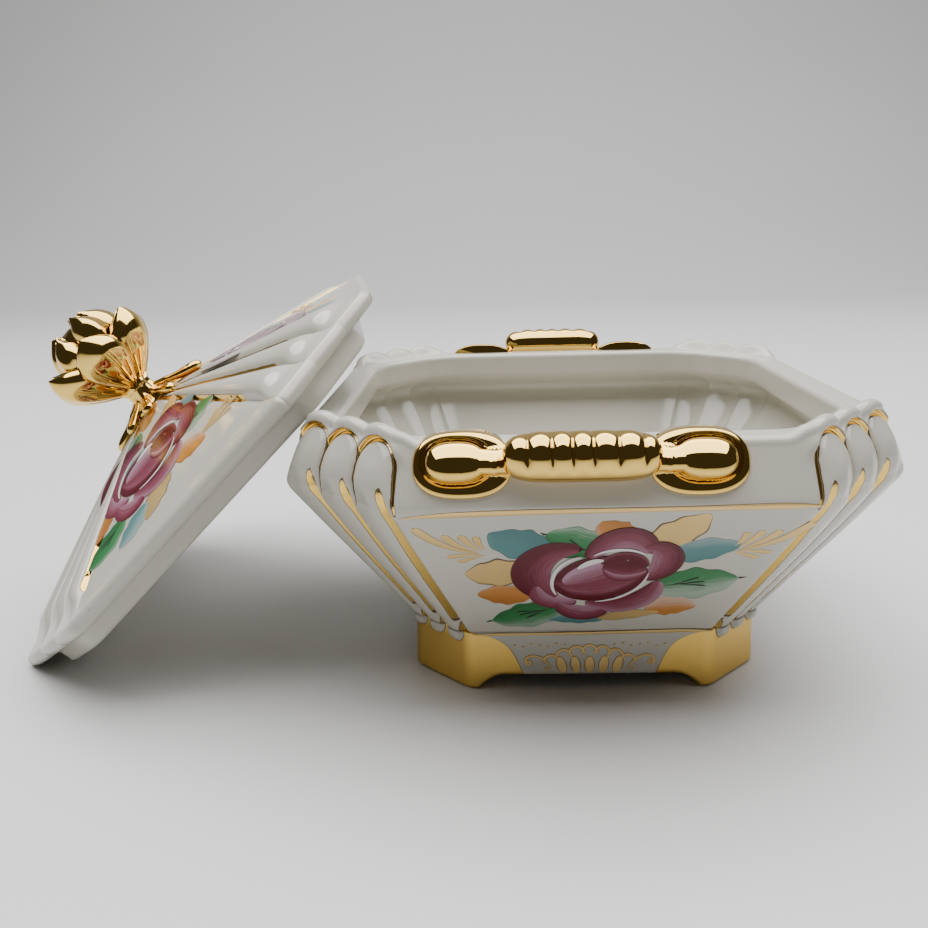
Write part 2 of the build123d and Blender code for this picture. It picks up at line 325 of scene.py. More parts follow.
def bowl_relief(place, width, sign, z, shape):
    """How far the bowl stands out of the plain corner, and the gilding's signed distance, both in mm.

    Above the belly each gadroon is a rounded strip with a half-round top, ringed by a groove. Below it
    the ribs run to the plinth between grooves set a little aside, which start as teardrops.
    """
    rim = shape.rim_height / MM
    belly = shape.belly_height / MM
    foot = shape.plinth_height / MM
    low = ease((belly + 2.0 - z) / 4.5)
    arch = np.full(place.shape, 99.0)
    for k in range(GADROONS):
        across = (place - k - 0.5) * width
        half = 0.5 * width - 0.32
        above = np.maximum(z - (ARCH_TOP - half), 0)
        arch = np.minimum(arch, np.hypot(across, above) - half)
    upper = 1.7 * np.sqrt(np.clip(-arch / (0.5 * width), 0, 1)) + 0.15
    upper = np.where((place > -0.02) & (place < GADROONS + 0.02), upper, 0.0)
    grooves = lower_grooves(sign)
    order = np.sort(np.stack(grooves), axis=0)
    ribs = np.zeros(place.shape)
    for a, b in zip(order[:-1], order[1:]):
        share = np.clip((place - a) / np.maximum(b - a, 1e-6), 0, 1)
        ribs = np.maximum(ribs, np.sin(math.pi * share) ** 0.6)
    bulge = 1.3 + 0.9 * ease((z - foot) / (belly - foot))
    relief = low * ribs * bulge + (1 - low) * upper
    soft = side_half(z, shape, 4.4) - side_half(z, shape)
    relief = relief + (soft + 1.9 * groove(z - belly - 3.0, 6.5)) * np.where(
        (place > 0) & (place < GADROONS), np.minimum(1, 3.2 * np.minimum(place, GADROONS - place)), 0)
    line = arch - 0.35
    nearest = np.clip(np.floor(place), 0, GADROONS - 1) + 0.5
    outward = np.where(sign > 0, place - nearest, nearest - place)
    brush = 0.30 + 0.42 * ease((z - rim + 7) / 5) * ease(0.5 + 1.3 * outward)
    upper_mask = ease((z - belly + 3.2) / 2.5)
    near_corner = (place > -0.6) & (place < GADROONS + 0.6)
    relief = relief - np.where(near_corner, 0.62 * groove(line, 0.5) * upper_mask, 0)
    roll = 0.8 * groove(arch - 1.45, 0.75) * ease((z - rim + 5.5) / 4.0)
    relief = relief + np.where(near_corner, roll, 0)
    gild = np.minimum(brush - np.abs(line), (z - belly + 1.0) * 0.35)
    gild = np.where(near_corner, gild, -5.0)
    for g in grooves:
        across = (place - g) * width
        flank = across - np.where(sign > 0, 0.42, -0.42)
        start = belly + 3.6
        mask = ease((start - z) / 2.6) * ease((z - foot + 1.0) / 4.0)
        relief = relief - 0.75 * groove(across, 0.65) * mask
        tear = 0.62 + 0.42 * groove(z - belly + 0.4, 2.6)
        strip = np.minimum(tear - np.abs(flank), np.minimum((start + 0.6 - z) * 0.30 - np.abs(flank) * 0.6,
                                                            (z - foot - 4.6) * 0.16))
        spike = (foot + 3.4 - z) * 0.34 - np.abs(across)
        gild = np.maximum(gild, np.maximum(strip, spike))
    return relief, gild


def crown_height(place, shape):
    """Scalloped rise of the rim over the corners: most over the middle of each gadroon."""
    rise = shape.crown_rise / MM
    inside = 0.62 + 0.38 * lobe(place, 0.8)
    ends = np.where(place < 0, ease(1 + place / 0.45), ease(1 - (place - GADROONS) / 0.45))
    return rise * np.where((place >= 0) & (place <= GADROONS), inside, 0.62 * ends)


def side_half(z, shape, k=0.55):
    """Half width of the bowl: two straight slopes that meet at the belly, eased into each other over k.

    It is -k log(exp(-a/k) + exp(-b/k)) of the lower slope a and the upper slope b.
    """
    foot, belly, rim = (v / MM for v in (shape.plinth_height, shape.belly_height, shape.rim_height))
    base = shape.plinth_width / MM / 2 - 0.4
    peak = shape.belly_width / MM / 2 + 0.20
    top = shape.rim_width / MM / 2
    a = base + (peak - base) * (z - foot) / (belly - foot)
    b = peak + (top - peak) * (np.minimum(z, rim) - belly) / (rim - belly)
    return -k * np.logaddexp(-a / k, -b / k)


def side_cut(z, shape):
    """Leg of the cut corner at a height, by the same two slopes."""
    foot, belly, rim = (v / MM for v in (shape.plinth_height, shape.belly_height, shape.rim_height))
    low = 12.8 + (25.0 - 12.8) * (z - foot) / (belly - foot)
    high = 25.0 + (21.0 - 25.0) * (np.minimum(z, rim) - belly) / (rim - belly)
    return np.where(z < belly, low, high)


def bowl_surface(shape):
    """The bowl as one closed surface: underside, outside, crown and rim, lip, inside and floor."""
    foot, belly, rim = (v / MM for v in (shape.plinth_height, shape.belly_height, shape.rim_height))
    columns = ring_columns(30, 26)
    wall = 4.3
    mouth = shape.mouth_width / MM / 2
    blocks, golds = [], []

    # outside, up to the start of the crown's roundness
    z = np.concatenate([np.linspace(foot, belly - 6, 36), np.linspace(belly - 6, belly + 5, 34)[1:]])
    points, normals, place, width, sign = ring(columns, side_half(z, shape), side_cut(z, shape), 1.2)
    relief, gild = bowl_relief(place, width, sign, z[:, None] + 0 * place, shape)
    xy = points + normals * relief[..., None]
    blocks.append(np.dstack([xy, np.broadcast_to(z[:, None], place.shape)]))
    golds.append(gild)

    t = np.linspace(0, 1, 30)[1:, None]
    points, normals, place, width, sign = ring(columns, [side_half(rim, shape)], [side_cut(rim, shape)], 1.2)
    crown = crown_height(place, shape)
    edge = 1.7
    top_z = rim - edge + crown
    low_z = belly + 5
    z = low_z + t * (top_z - low_z)
    halves, cuts = side_half(z, shape), side_cut(z, shape)
    band = []
    for row in range(len(t)):
        # every column of this row has its own height, so the outline is worked out for the mean height
        h, c = halves[row].mean(), cuts[row].mean()
        p, n, s, w, sg = ring(columns, [h], [c], 1.2)
        r, g = bowl_relief(s, w, sg, z[row][None, :], shape)
        lean = (halves[row] - h)[None, :, None]
        band.append((np.dstack([p + n * (r[..., None] + lean), z[row][None, :]])[0], g[0]))
    blocks.append(np.stack([b[0] for b in band]))
    golds.append(np.stack([b[1] for b in band]))
    last = blocks[-1][-1]
    last_relief = np.einsum("ij,ij->i", last[:, :2] - points[0], normals[0])

    # over the rim: a rounded outer edge, a fall from the crown, the flat and the rounded inner edge
    reach = side_half(rim, shape) - mouth
    d = np.concatenate([edge * (1 - np.cos(np.linspace(0, math.pi / 2, 8)[1:])),
                        np.linspace(edge, reach - 1.4, 10)[1:],
                        reach - 1.4 + 1.4 * np.sin(np.linspace(0, math.pi / 2, 7)[1:])])
    share = d / reach
    h = side_half(rim, shape) - d
    c = side_cut(rim, shape) + (16.5 - side_cut(rim, shape)) * share
    points, normals, place, width, sign = ring(columns, h, c, 1.2 + 5.0 * ease(share * 1.1 - 0.1))
    keep = ease(1 - d / 4.2)[:, None] * last_relief[None, :]
    round_out = edge * np.sqrt(np.clip(1 - ((edge - np.minimum(d, edge)) / edge) ** 2, 0, 1)) - edge
    round_in = 1.4 * np.sqrt(np.clip(1 - np.clip((d - reach + 1.4) / 1.4, 0, 1) ** 2, 0, 1)) - 1.4
    fall = 1 - ease((d - edge) / 2.8)
    z = rim + crown * fall[:, None] + (round_out + round_in)[:, None]
    blocks.append(np.dstack([points + normals * keep[..., None], z]))
    golds.append(np.full(z.shape, -5.0))

    # lip, undercut, inside wall and floor
    lip_low = rim - 6.0
    inner_z = np.concatenate([np.linspace(rim - 1.8, lip_low, 5), np.linspace(lip_low, belly + 1.5, 12)[1:],
                              np.linspace(belly + 1.5, foot + 8.0, 26)[1:]])
    under = ease((lip_low - inner_z) / (lip_low - belly - 1.5))
    inner_half = mouth + under * (side_half(inner_z, shape) - wall - mouth)
    inner_cut = 16.5 + under * (side_cut(inner_z, shape) - 3.0 - 16.5)
    floor_angle = np.linspace(0, math.pi / 2, 8)[1:]
    bend = 4.0
    floor_half = inner_half[-1] - bend * (1 - np.cos(floor_angle)) - 1.2 * np.sin(floor_angle)
    inner_z = np.concatenate([inner_z, inner_z[-1] - bend * np.sin(floor_angle)])
    inner_half = np.concatenate([inner_half, floor_half])
    inner_cut = np.concatenate([inner_cut, np.full(7, inner_cut[-1])])
    flute = np.concatenate([under, 1 - floor_angle / (math.pi / 2)])
    points, normals, place, width, sign = ring(columns, inner_half, inner_cut, 6.0)
    sunk = 1.0 * lobe(place, 0.7) * flute[:, None]
    blocks.append(np.dstack([points + normals * sunk[..., None], np.broadcast_to(inner_z[:, None],
                                                                                 place.shape)]))
    golds.append(np.full(place.shape, -5.0))
    floor = inner_z[-1]
    for size in (0.75, 0.4, 0.12):
        blocks.append(np.dstack([points[-1:] * size, np.full((1, place.shape[1]), floor - 0.3 * (1 - size))]))
        golds.append(np.full((1, place.shape[1]), -5.0))
    first = np.dstack([blocks[0][:1, :, :2] * 0.93, np.full((1, place.shape[1]), foot)])
    grid = np.vstack([first] + blocks)
    gold = np.vstack([np.full((1, place.shape[1]), -5.0)] + golds)
    return surface("bowl_body", grid, start=(0, 0, foot), end=(0, 0, floor - 0.3), data={"gilding": gold})


# ---------------------------------------------------------------- plinth

def ogee(z, foot, notch):
    """Half length of the white field between the gilded feet: a slow widening that flicks out at the top."""
    share = (z - notch) / (foot - notch)
    return 14.6 + 4.6 * share + 6.5 * np.clip(share, 0, 1) ** 6


def plinth_surface(shape):
    """The plinth as a closed ring: outside with rib tips, feet cut by notches, inside and top."""
    foot = shape.plinth_height / MM
    half = shape.plinth_width / MM / 2
    notch, cut, soft, wall, corner_round = 3.2, 13.0, 2.2, 6.0, 1.0
    columns = ring_columns(90, 22)
    outer = np.linspace(0, 1, 34)
    points, normals, place, width, sign = ring(columns, np.full(len(outer), half), cut, soft)
    faces_x = np.abs(normals[..., 0]) > np.abs(normals[..., 1])
    along = np.abs(np.where(faces_x, points[..., 1], points[..., 0]))
    flat = (place < 0) | (place > GADROONS)
    rise = np.where(flat, notch * np.clip(1 - np.clip((along - 19.0) / 6.0, 0, 1) ** 2, 0, 1), 0.0)
    z = rise + (foot - rise) * outer[:, None]
    climb = np.clip((z - rise) / corner_round, 0, 1)
    drop = corner_round * (1 - np.sqrt(np.clip(1 - (1 - climb) ** 2, 0, 1)))
    tips = np.full(place.shape, 9.0)
    order = np.sort(np.stack(lower_grooves(sign)), axis=0)
    for a, b in zip(order[:-1], order[1:]):
        across = (place - (a + b) / 2) * width
        reach = 0.44 * (b - a) * width
        below = np.maximum(foot - 0.4 - z, 0)
        tips = np.minimum(tips, np.hypot(across, below) - reach)
    bulge = 1.3 * ease(-tips / 1.3)
    spread = -0.35 + 0.35 * (1 - z / foot) ** 2
    xy = points + normals * (bulge - drop + spread)[..., None]
    outside = np.dstack([xy, z])
    gild = np.where(flat, along - ogee(z, foot, notch), 6.0)
    gild = np.minimum(gild, tips + 0.15)
    inner = np.linspace(1, 0, 10)
    p = ring(columns, np.full(len(inner), half - wall), cut - 3.5, soft)[0]
    rise_in = rise[:1]
    z_in = rise_in + (foot - 0.2 - rise_in) * inner[:, None]
    inside = np.dstack([p, z_in])
    middle_low = np.dstack([(outside[:1, :, :2] + inside[-1:, :, :2]) / 2, rise_in])
    grid = np.vstack([outside, inside, middle_low])
    gold = np.vstack([gild, np.full((11, gild.shape[1]), -5.0)])
    return surface("plinth_body", grid, close_rows=True, data={"gilding": gold})


# ---------------------------------------------------------------- handles

def grip_surface(name, middle, side, ribs):
    """Grip along X, on the front (side -1) or the rear (side 1) of the bowl: a bar with rounded ribs.

    Radius R (1 - |u|^5)^(1/2.6) along the bar, less a valley 1 - |sin|^0.6 between ribs that fades out
    towards its underside and its back.
    """
    length, radius = 29.4, 4.85
    u = np.linspace(-1, 1, 171)[1:-1, None]
    angle = np.linspace(0, TAU, 84, endpoint=False)[None, :]
    swell = (1 - np.abs(u) ** 5.0) ** (1 / 2.6)
    uneven = u + 0.03 * np.sin(5.1 * u + 0.7) - 0.02
    rib = np.abs(np.sin(math.pi * ribs * (uneven * 0.5 + 0.5))) ** 0.6
    top = ease((np.sin(angle) + 0.62) / 0.75) * ease((np.cos(angle) + 0.55) / 0.7)
    ends = ease((1 - np.abs(u)) / 0.10)
    body = radius * swell * (1 + 0 * angle) - 0.95 * (1 - rib) * top * ends
    x = u * length / 2 + 0 * angle
    y = side * np.cos(angle) * body
    z = np.sin(angle) * body * 0.99
    grid = np.dstack([x, y, z]) + np.array(middle)
    tips = [(middle[0] + way * length / 2, middle[1], middle[2]) for way in (-1, 1)]
    return surface(name, grid, start=tips[0], end=tips[1])


def lug_surface(name, middle, side, away):
    """Lug: an oval plaque on the bowl's side with a pill boss and a neck towards the grip.

    Worked out on a polar grid over the oval. Its height is the plaque, a rounded block 1 - r^p, with a
    moat round the boss, an ellipsoid of powers 2.6 and 2.2, and a saddle for the neck. All of it is
    sheared by lean, the slope of the bowl's wall, and its back stays inside that wall. away is the end
    of the bar that it faces, and side the face of the bowl.
    """
    a, b = 9.4, 5.9
    angle = np.linspace(0, TAU, 112, endpoint=False)[None, :]
    r = np.linspace(0, 1, 56)[1:, None] ** 0.8
    power = 2.5
    rim = (np.abs(np.cos(angle)) ** power + np.abs(np.sin(angle)) ** power) ** (-1 / power)
    x = r * a * rim * np.cos(angle)
    z = r * b * rim * np.sin(angle)
    plaque = 1.5 * np.clip(1 - r ** 8, 0, 1) ** 0.5 + 0 * angle
    bx, bz = x - 1.1, z - 0.9
    boss_r = (np.abs(bx / 6.0) ** 2.6 + np.abs(bz / 3.7) ** 2.2)
    boss = 0.9 + 4.0 * np.clip(1 - boss_r, 0, 1) ** 0.5
    moat = 0.8 * groove(boss_r - 1.15, 0.25)
    neck = 0.9 + 3.2 * np.sqrt(np.clip(1 - (bz / 2.4) ** 2, 0, 1))
    neck = np.where((bx < 0) & (np.abs(bz) < 2.4), neck, 0)
    collar = 0.5 * groove(bx + 7.2, 0.8) * (np.abs(bz) < 2.4)
    height = np.maximum(np.maximum(plaque - moat, np.where(boss_r < 1, boss, 0)), neck + collar)
    back, lean = 2.2, 0.41
    front = np.dstack([x, height - lean * z, z])
    skirt = [np.dstack([x[-1:], -back * t - lean * z[-1:], z[-1:]]) for t in (0.0, 0.5, 1.0)]
    scale = np.array([away, side, 1.0])
    grid = np.vstack([front] + skirt) * scale + np.array(middle)
    start = (middle[0], middle[1] + side * float(height[0].mean()), middle[2])
    return surface(name, grid, start=start, end=(middle[0], middle[1] - side * back, middle[2]))


# ---------------------------------------------------------------- lid

def lean_points(points, shape):
    """Turns points of the upright lid into its leaning place: lean about Y, then turn about Z, then move.

    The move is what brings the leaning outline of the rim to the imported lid's box.
    """
    lean, turn = shape.lean_angle, shape.lean_turn
    about_y = np.array([[math.cos(lean), 0, -math.sin(lean)], [0, 1, 0], [math.sin(lean), 0, math.cos(lean)]])
    about_z = np.array([[math.cos(turn), -math.sin(turn), 0], [math.sin(turn), math.cos(turn), 0], [0, 0, 1]])
    matrix = about_z @ about_y
    half, cut, edge, soft = shape.lid_width / MM / 2, 27.5, 4.0, 1.6
    a, b = half - cut, half
    outline = np.array([(x, y) for x, y in ((b, a), (a, b), (-a, b), (-b, a), (-b, -a), (-a, -b), (a, -b),
                                            (b, -a))])
    reach = []
    for inset, z in ((0, soft), (0, edge - soft), (soft, 0), (soft, edge)):
        scale = (half - inset) / half
        reach.append(np.column_stack([outline * scale, np.full(8, z)]))
    turned = np.vstack(reach) @ matrix.T
    low, high = (np.array(corner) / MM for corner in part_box("lid_shell"))
    move = (low + high) / 2 - (turned.min(0) + turned.max(0)) / 2
    move[2] = low[2] - turned[:, 2].min() + 0.35
    return points @ matrix.T + move


LID_CUT = 27.5
LID_EDGE = 4.0


def lid_slope(shape):
    """Fall of the pyramid per millimetre of half width."""
    half = shape.lid_width / MM / 2 - 2.5
    return (shape.lid_rise / MM - LID_EDGE) / half


def lid_face_height(half, shape):
    """Height of the pyramid's flats over the lid's underside at a half width, with a soft cove at the rim."""
    outer = shape.lid_width / MM / 2
    plain = LID_EDGE + lid_slope(shape) * (outer - 2.5 - half)
    return plain - 0.35 * groove(half - outer + 5.5, 2.2)


def lid_surface(shape):
    """The lid as one closed surface: fluted pyramid, rounded rim, underside and hollow."""
    outer = shape.lid_width / MM / 2
    columns = ring_columns(26, 24)
    seat = 7.0
    h = seat + (outer - 2.2 - seat) * np.linspace(0, 1, 66)
    cut_share = LID_CUT / outer
    share = (h - seat) / (outer - seat)
    points, _, place, width, sign = ring(columns, h, cut_share * h, 0.6 + 0.4 * share)
    z = lid_face_height(h, shape)[:, None] + 0 * place
    distance = (outer - h)[:, None]
    fade = ease((distance - 3.0) / 5.0)
    swell = lobe(place, 0.6) * (0.5 + 2.0 * share[:, None]) * (0.30 + 0.70 * fade)
    gild = np.full(place.shape, -5.0)
    for k in range(GADROONS + 1):
        across = (place - k) * width
        reach = ease((distance - 5.5 - 1.2 * (k % 2)) / 2.5)
        swell = swell - 0.85 * groove(across, 1.15) * reach
        stop = np.where(sign > 0, 15.0 - 3.0 * (k % 2), 7.5 + 2.0 * (k % 2))
        past = np.maximum(stop - distance, 0)
        gild = np.maximum(gild, 0.46 + 0.46 * share[:, None] - np.hypot(across, past))
    top = np.dstack([points, z + swell])
    soft = LID_EDGE / 2
    turn = np.linspace(-math.pi / 2, math.pi / 2, 17)[1:]
    edge_h = outer - soft + soft * np.cos(turn)
    edge_z = soft - soft * np.sin(turn)
    p, n, s = ring(columns, edge_h, LID_CUT - 0.586 * (outer - edge_h), 1.2)[:3]
    ripple = 0.5 * (lobe(s, 0.8) - 0.5) * ((s > 0) & (s < GADROONS))
    edge = np.dstack([p + n * ripple[..., None], np.broadcast_to(edge_z[:, None], s.shape)])
    flange_half = shape.mouth_width / MM / 2 - 0.8
    hollow = flange_half - 4.0
    under_h = np.linspace(outer - soft, hollow, 6)[1:]
    edge_cut, hollow_cut = LID_CUT - 0.586 * soft, 12.7
    inward = (outer - soft - under_h) / (outer - soft - hollow)
    p, _, s = ring(columns, under_h, edge_cut + (hollow_cut - edge_cut) * inward, 2.0)[:3]
    under = np.dstack([p, np.zeros(s.shape)])
    in_h = np.concatenate([[hollow, hollow], np.linspace(hollow - 0.5, 4.0, 22)])
    in_z = np.concatenate([[1.2, 3.0], lid_face_height(in_h[2:], shape) - 4.2])
    in_z[2:] = np.maximum(in_z[2:], 3.2)
    p, _, s = ring(columns, in_h, hollow_cut * in_h / hollow, 2.0)[:3]
    inside = np.dstack([p, np.broadcast_to(in_z[:, None], s.shape)])
    grid = np.vstack([top, edge, under, inside])
    gold = np.vstack([gild, np.full((len(grid) - len(gild), gild.shape[1]), -5.0)])
    start = (0.0, 0.0, float(top[0, :, 2].mean()) + 0.5)
    end = (0.0, 0.0, float(in_z[-1]) + 0.8)
    ends = lean_points(np.array([start, end]), shape)
    flat = lean_points(grid.reshape(-1, 3), shape).reshape(grid.shape)
    return surface("lid_body", flat, start=ends[0], end=ends[1], data={"gilding": gold})


def flange_surface(shape):
    """Locating ring under the lid: a closed band with softly rounded lower edges and a flared root."""
    half = shape.mouth_width / MM / 2 - 0.8
    wall, depth, soft = 4.0, 4.8, 1.1
    columns = ring_columns(20, 8)
    bend = np.linspace(0, math.pi / 2, 6)
    out_h = np.concatenate([[half + 0.9, half + 0.3, half, half], half - soft * (1 - np.cos(bend))[1:]])
    out_z = np.concatenate([[0.2, -0.4, -1.0, -depth + soft], -depth + soft - soft * np.sin(bend)[1:]])
    in_h = half - wall + np.concatenate([(soft * (1 - np.sin(bend)))[:-1], [0.0, 0.0]])
    in_z = np.concatenate([(-depth + soft - soft * np.cos(bend))[:-1], [-depth + soft, 0.2]])
    h, z = np.concatenate([out_h, in_h]), np.concatenate([out_z, in_z])
    p, _, s = ring(columns, h, 15.0 - 0.586 * (half - h), 4.0)[:3]
    grid = np.dstack([p, np.broadcast_to(z[:, None], s.shape)])
    flat = lean_points(grid.reshape(-1, 3), shape).reshape(grid.shape)
    return surface("flange_body", flat, close_rows=True)


# ---------------------------------------------------------------- finial

def shell_petal(name, shape, turn, base, radii, height, width, thick, curl, keel):
    """One petal: a bowed shell along a Bezier line of radii, that narrows to a pointed tip.

    With t from root to tip and v across, its half angle is width sin(pi (0.2 + 0.8 t)^1.6)^0.42, its radius
    falls by 0.26 v^2 to give it a rounded back, and a soft keel stands along its middle.
    """
    t = np.linspace(0, 1, 40)[:, None]
    v = np.linspace(-1, 1, 27)[None, :]
    radius = bezier([(r, 0.0) for r in radii], t[:, 0])[:, :1]
    rise = base + height * t ** 0.95 - curl * ease((t - 0.75) / 0.25) - 0.10 * height * v ** 2 * t ** 3
    spread = np.maximum(width * np.sin(math.pi * (0.20 + 0.80 * t) ** 1.6) ** 0.42, 0.03)
    angle = turn + v * spread
    fold = keel * (groove(v, 0.22) + 0.55 * groove(np.abs(v) - 0.62,
                                                   0.16)) * np.sin(math.pi * t ** 0.8) ** 0.7
    outer_r = radius * (1 - 0.26 * v ** 2) + fold
    inner_r = np.maximum(outer_r - thick * (1 - 0.8 * v ** 2) * (1 - 0.6 * t ** 3) - 0.25, 0.2)
    outer = np.dstack([outer_r * np.cos(angle), outer_r * np.sin(angle), rise])
    inner = np.dstack([inner_r * np.cos(angle), inner_r * np.sin(angle), rise])
    loop = np.concatenate([outer, inner[:, ::-1]], axis=1)
    flat = lean_points(loop.reshape(-1, 3), shape).reshape(loop.shape)
    return surface(name, flat, start=flat[0].mean(0), end=flat[-1].mean(0))


def turned_piece(name, shape, radii, heights, lobes=0, depth=0.0):
    """Turned body on the lid's axis, with an optional lobed outline: r (1 + depth cos(lobes angle))."""
    angle = np.linspace(0, TAU, 64, endpoint=False)[None, :]
    r = np.asarray(radii, float)[:, None] * (1 + depth * np.cos(lobes * angle))
    z = np.asarray(heights, float)[:, None] + 0 * angle
    grid = np.dstack([r * np.cos(angle), r * np.sin(angle), z])
    flat = lean_points(grid.reshape(-1, 3), shape).reshape(grid.shape)
    ends = lean_points(np.array([[0, 0, heights[0]], [0, 0, heights[-1]]], float), shape)
    return surface(name, flat, start=ends[0], end=ends[1])


def calyx_leaf(name, shape, turn, length, width, lift):
    """Calyx leaf: a plump tongue that leaves the neck, lies along the lid and curls up at its tip.

    Its section is an ellipse whose half width follows (1 - (2t - 1)^6)^0.5, swollen near its tip.
    """
    t = np.linspace(0, 1, 30)[:, None]
    angle = np.linspace(0, TAU, 18, endpoint=False)[None, :]
    out = 2.6 + (length - 2.6) * t
    bed = shape.lid_rise / MM - lid_slope(shape) * np.maximum(out, 7.0)
    rise = bed + 0.7 + 3.2 * (1 - t) ** 3 + lift * t ** 3
    blunt = np.sqrt(np.clip(1 - (2 * np.clip(0.06 + 0.94 * t, 0, 1) - 1) ** 6, 0, 1))
    half = np.maximum(width * blunt * (0.62 + 0.42 * ease((t - 0.3) / 0.5)), 0.03)
    side, up = half * np.cos(angle), 0.8 * half * np.sin(angle)
    c, s = math.cos(turn), math.sin(turn)
    grid = np.dstack([c * out - s * side, s * out + c * side, rise + up])
    flat = lean_points(grid.reshape(-1, 3), shape).reshape(grid.shape)
    return surface(name, flat, start=flat[0].mean(0), end=flat[-1].mean(0))


# ---------------------------------------------------------------- brush strokes

def bezier(controls, t):
    """Point on the Bezier curve with these control points, by repeated weighting, for each t."""
    points = [np.asarray(c, float)[None, :] + 0 * t[:, None] for c in controls]
    while len(points) > 1:
        points = [(1 - t[:, None]) * a + t[:, None] * b for a, b in zip(points, points[1:])]
    return points[0]


def brush_stroke(name, panel, controls, half_width, profile="leaf", light=1.0, tone=0.5, lift=0.0, thick=0.05,
                 count=34, around=18):
    """One brush stroke laid on a panel, as a closed lens along a Bezier line in panel millimetres.

    Its half width is half_width times the profile along the line, and its section is an ellipse of
    half height thick. It carries along, from 0 to 1, tone, and across, from -1 to 1 with the light at +1.
    """
    t = np.linspace(0, 1, count)
    if profile == "leaf":
        ragged = 1 + 0.07 * np.sin(19 * t + 40 * tone)
        widths = np.sin(math.pi * t ** 0.85) ** 0.62 * (1 - 0.12 * t) * ragged
    elif profile == "petal":
        widths = np.sin(math.pi * np.clip(t, 0, 1)) ** 0.45
    elif profile == "disc":
        widths = np.sqrt(np.clip(1 - (2 * t - 1) ** 2, 0, 1))
    elif profile == "drop":
        widths = (1 - t) ** 0.45 * t ** 0.28 * 1.6 * (1 - 0.7 * t)
    else:
        widths = np.clip(np.minimum(t, 1 - t) * 9, 0, 1) ** 0.6 * (1 + 0.10 * np.sin(9 * t + tone * 20))
    widths = np.maximum(widths, 0.0) * half_width
    line = bezier(controls, t)
    step = np.gradient(line, axis=0)
    step /= np.linalg.norm(step, axis=1, keepdims=True) + 1e-9
    side = np.stack([-step[:, 1], step[:, 0]], -1)
    angle = np.linspace(0, TAU, around, endpoint=False)
    across = np.cos(angle)[None, :] * np.ones((count, 1))
    flat = line[:, None, :] + side[:, None, :] * (across * widths[:, None])[..., None]
    height = lift + thick * np.sin(angle)[None, :] * (widths[:, None] > 1e-6)
    grid = panel(flat[..., 0], flat[..., 1], height)
    ends = panel(line[[0, -1], 0], line[[0, -1], 1], np.array([lift, lift]))
    data = {"along": t[:, None] + 0 * across, "across": across * light, "tone": np.full(across.shape, tone)}
    return surface(name, grid[1:-1], start=ends[0], end=ends[1], data={k: v[1:-1] for k, v in data.items()})


def bowl_panel(shape, side):
    """Panel of the bowl below the belly, front (side -1) or rear (1): x across, y up its slope."""
    foot, belly = shape.plinth_height / MM, shape.belly_height / MM
    base = shape.plinth_width / MM / 2 - 0.4
    peak = shape.belly_width / MM / 2 + 0.20
    rise, run = belly - foot, peak - base
    length = math.hypot(rise, run)

    def place(x, y, height):
        z = foot + y * rise / length
        out = side_half(z, shape) + height * rise / length
        return np.stack([-side * x, side * out, z - height * run / length], -1)
    return place


def lid_panel(shape, turn):
    """Face of the lid: x across, y along the slope from the rim to the apex, turned about the lid's axis."""
    outer = shape.lid_width / MM / 2
    slope = lid_slope(shape)
    length = math.hypot(1, slope)

    def place(x, y, height):
        half = outer - 3.0 - y / length
        z = lid_face_height(half, shape) + height / length
        out = half + height * slope / length
        local = np.stack([x, -out, z], -1)
        c, s = math.cos(turn), math.sin(turn)
        spun = np.stack([local[..., 0] * c - local[..., 1] * s, local[..., 0] * s + local[..., 1] * c, z], -1)
        return lean_points(spun.reshape(-1, 3), shape).reshape(spun.shape)
    return place


def moved_panel(panel, shift, scale=1.0, turn=0.0):
    """The same panel with its drawing scaled and turned about the origin and then shifted."""
    c, s = math.cos(turn) * scale, math.sin(turn) * scale
    return lambda x, y, height: panel(x * c - y * s + shift[0], x * s + y * c + shift[1], height)


# Bouquet drawn round the rose's middle, in millimetres: kind, control points, half width, light side, tone
ROSE_STROKES = (
    ("petal", ((-4, 11.5), (-13, 14.5), (-19.5, 4), (-15, -4.5), (-9, -8)), 4.6, 1, 0.28),
    ("petal", ((-14, -2), (-14, -8.5), (-9, -11), (-4.5, -9)), 3.0, 1, 0.66),
    ("petal", ((-9, -9.5), (-6.5, -15.5), (1, -16.5), (2.5, -11)), 3.1, 1, 0.56),
    ("petal", ((13.5, -1), (13.5, -10.5), (4, -13.5), (-2.5, -9.5)), 3.6, 1, 0.50),
    ("petal", ((-2.5, 8), (1.5, 18), (9, 18), (11.5, 9.5)), 3.9, -1, 0.48),
    ("petal", ((9, 12), (17.5, 13.5), (16.5, 1.5), (10, 0)), 3.6, -1, 0.42),
    ("disc", ((-10, -1.2), (-3, -1.0), (4, 1.5), (10.8, 4.0)), 8.6, -1, 0.33),
    ("petal", ((-10, 0), (-8, -10), (7, -10.5), (11, 3.5)), 1.7, 1, 0.10),
    ("disc", ((-8, -1.5), (-3, 1), (2, 4), (7, 7.5)), 4.7, 1, 0.72),
    ("disc", ((0.5, 5.2), (4, 4.5), (8, 4), (10.6, 4.2)), 4.5, -1, 0.22),
    ("petal", ((0.4, 6.0), (3, 10.6), (9.3, 10), (10.8, 4.6)), 1.5, 1, 0.06),
    ("petal", ((1, 4.0), (3, -0.5), (8, -0.6), (10.8, 3)), 1.3, 1, 0.55),
)
WHITE_STROKES = (
    ((-3.8, 9.2), (-10.0, 8.4), (-12.0, -1.5), (-9.2, -6.2), 0.46),
    ((11.2, 2.6), (10.6, -6), (4, -9.2), (-0.4, -9.2), 0.38),
    ((-1.5, 9.4), (1.5, 12.2), (7, 12.6), (10.4, 9.0), 0.45),
    ((-4.8, 4.4), (-2.8, 7.0), (-0.4, 7.9), (0.9, 7.4), 0.95),
)
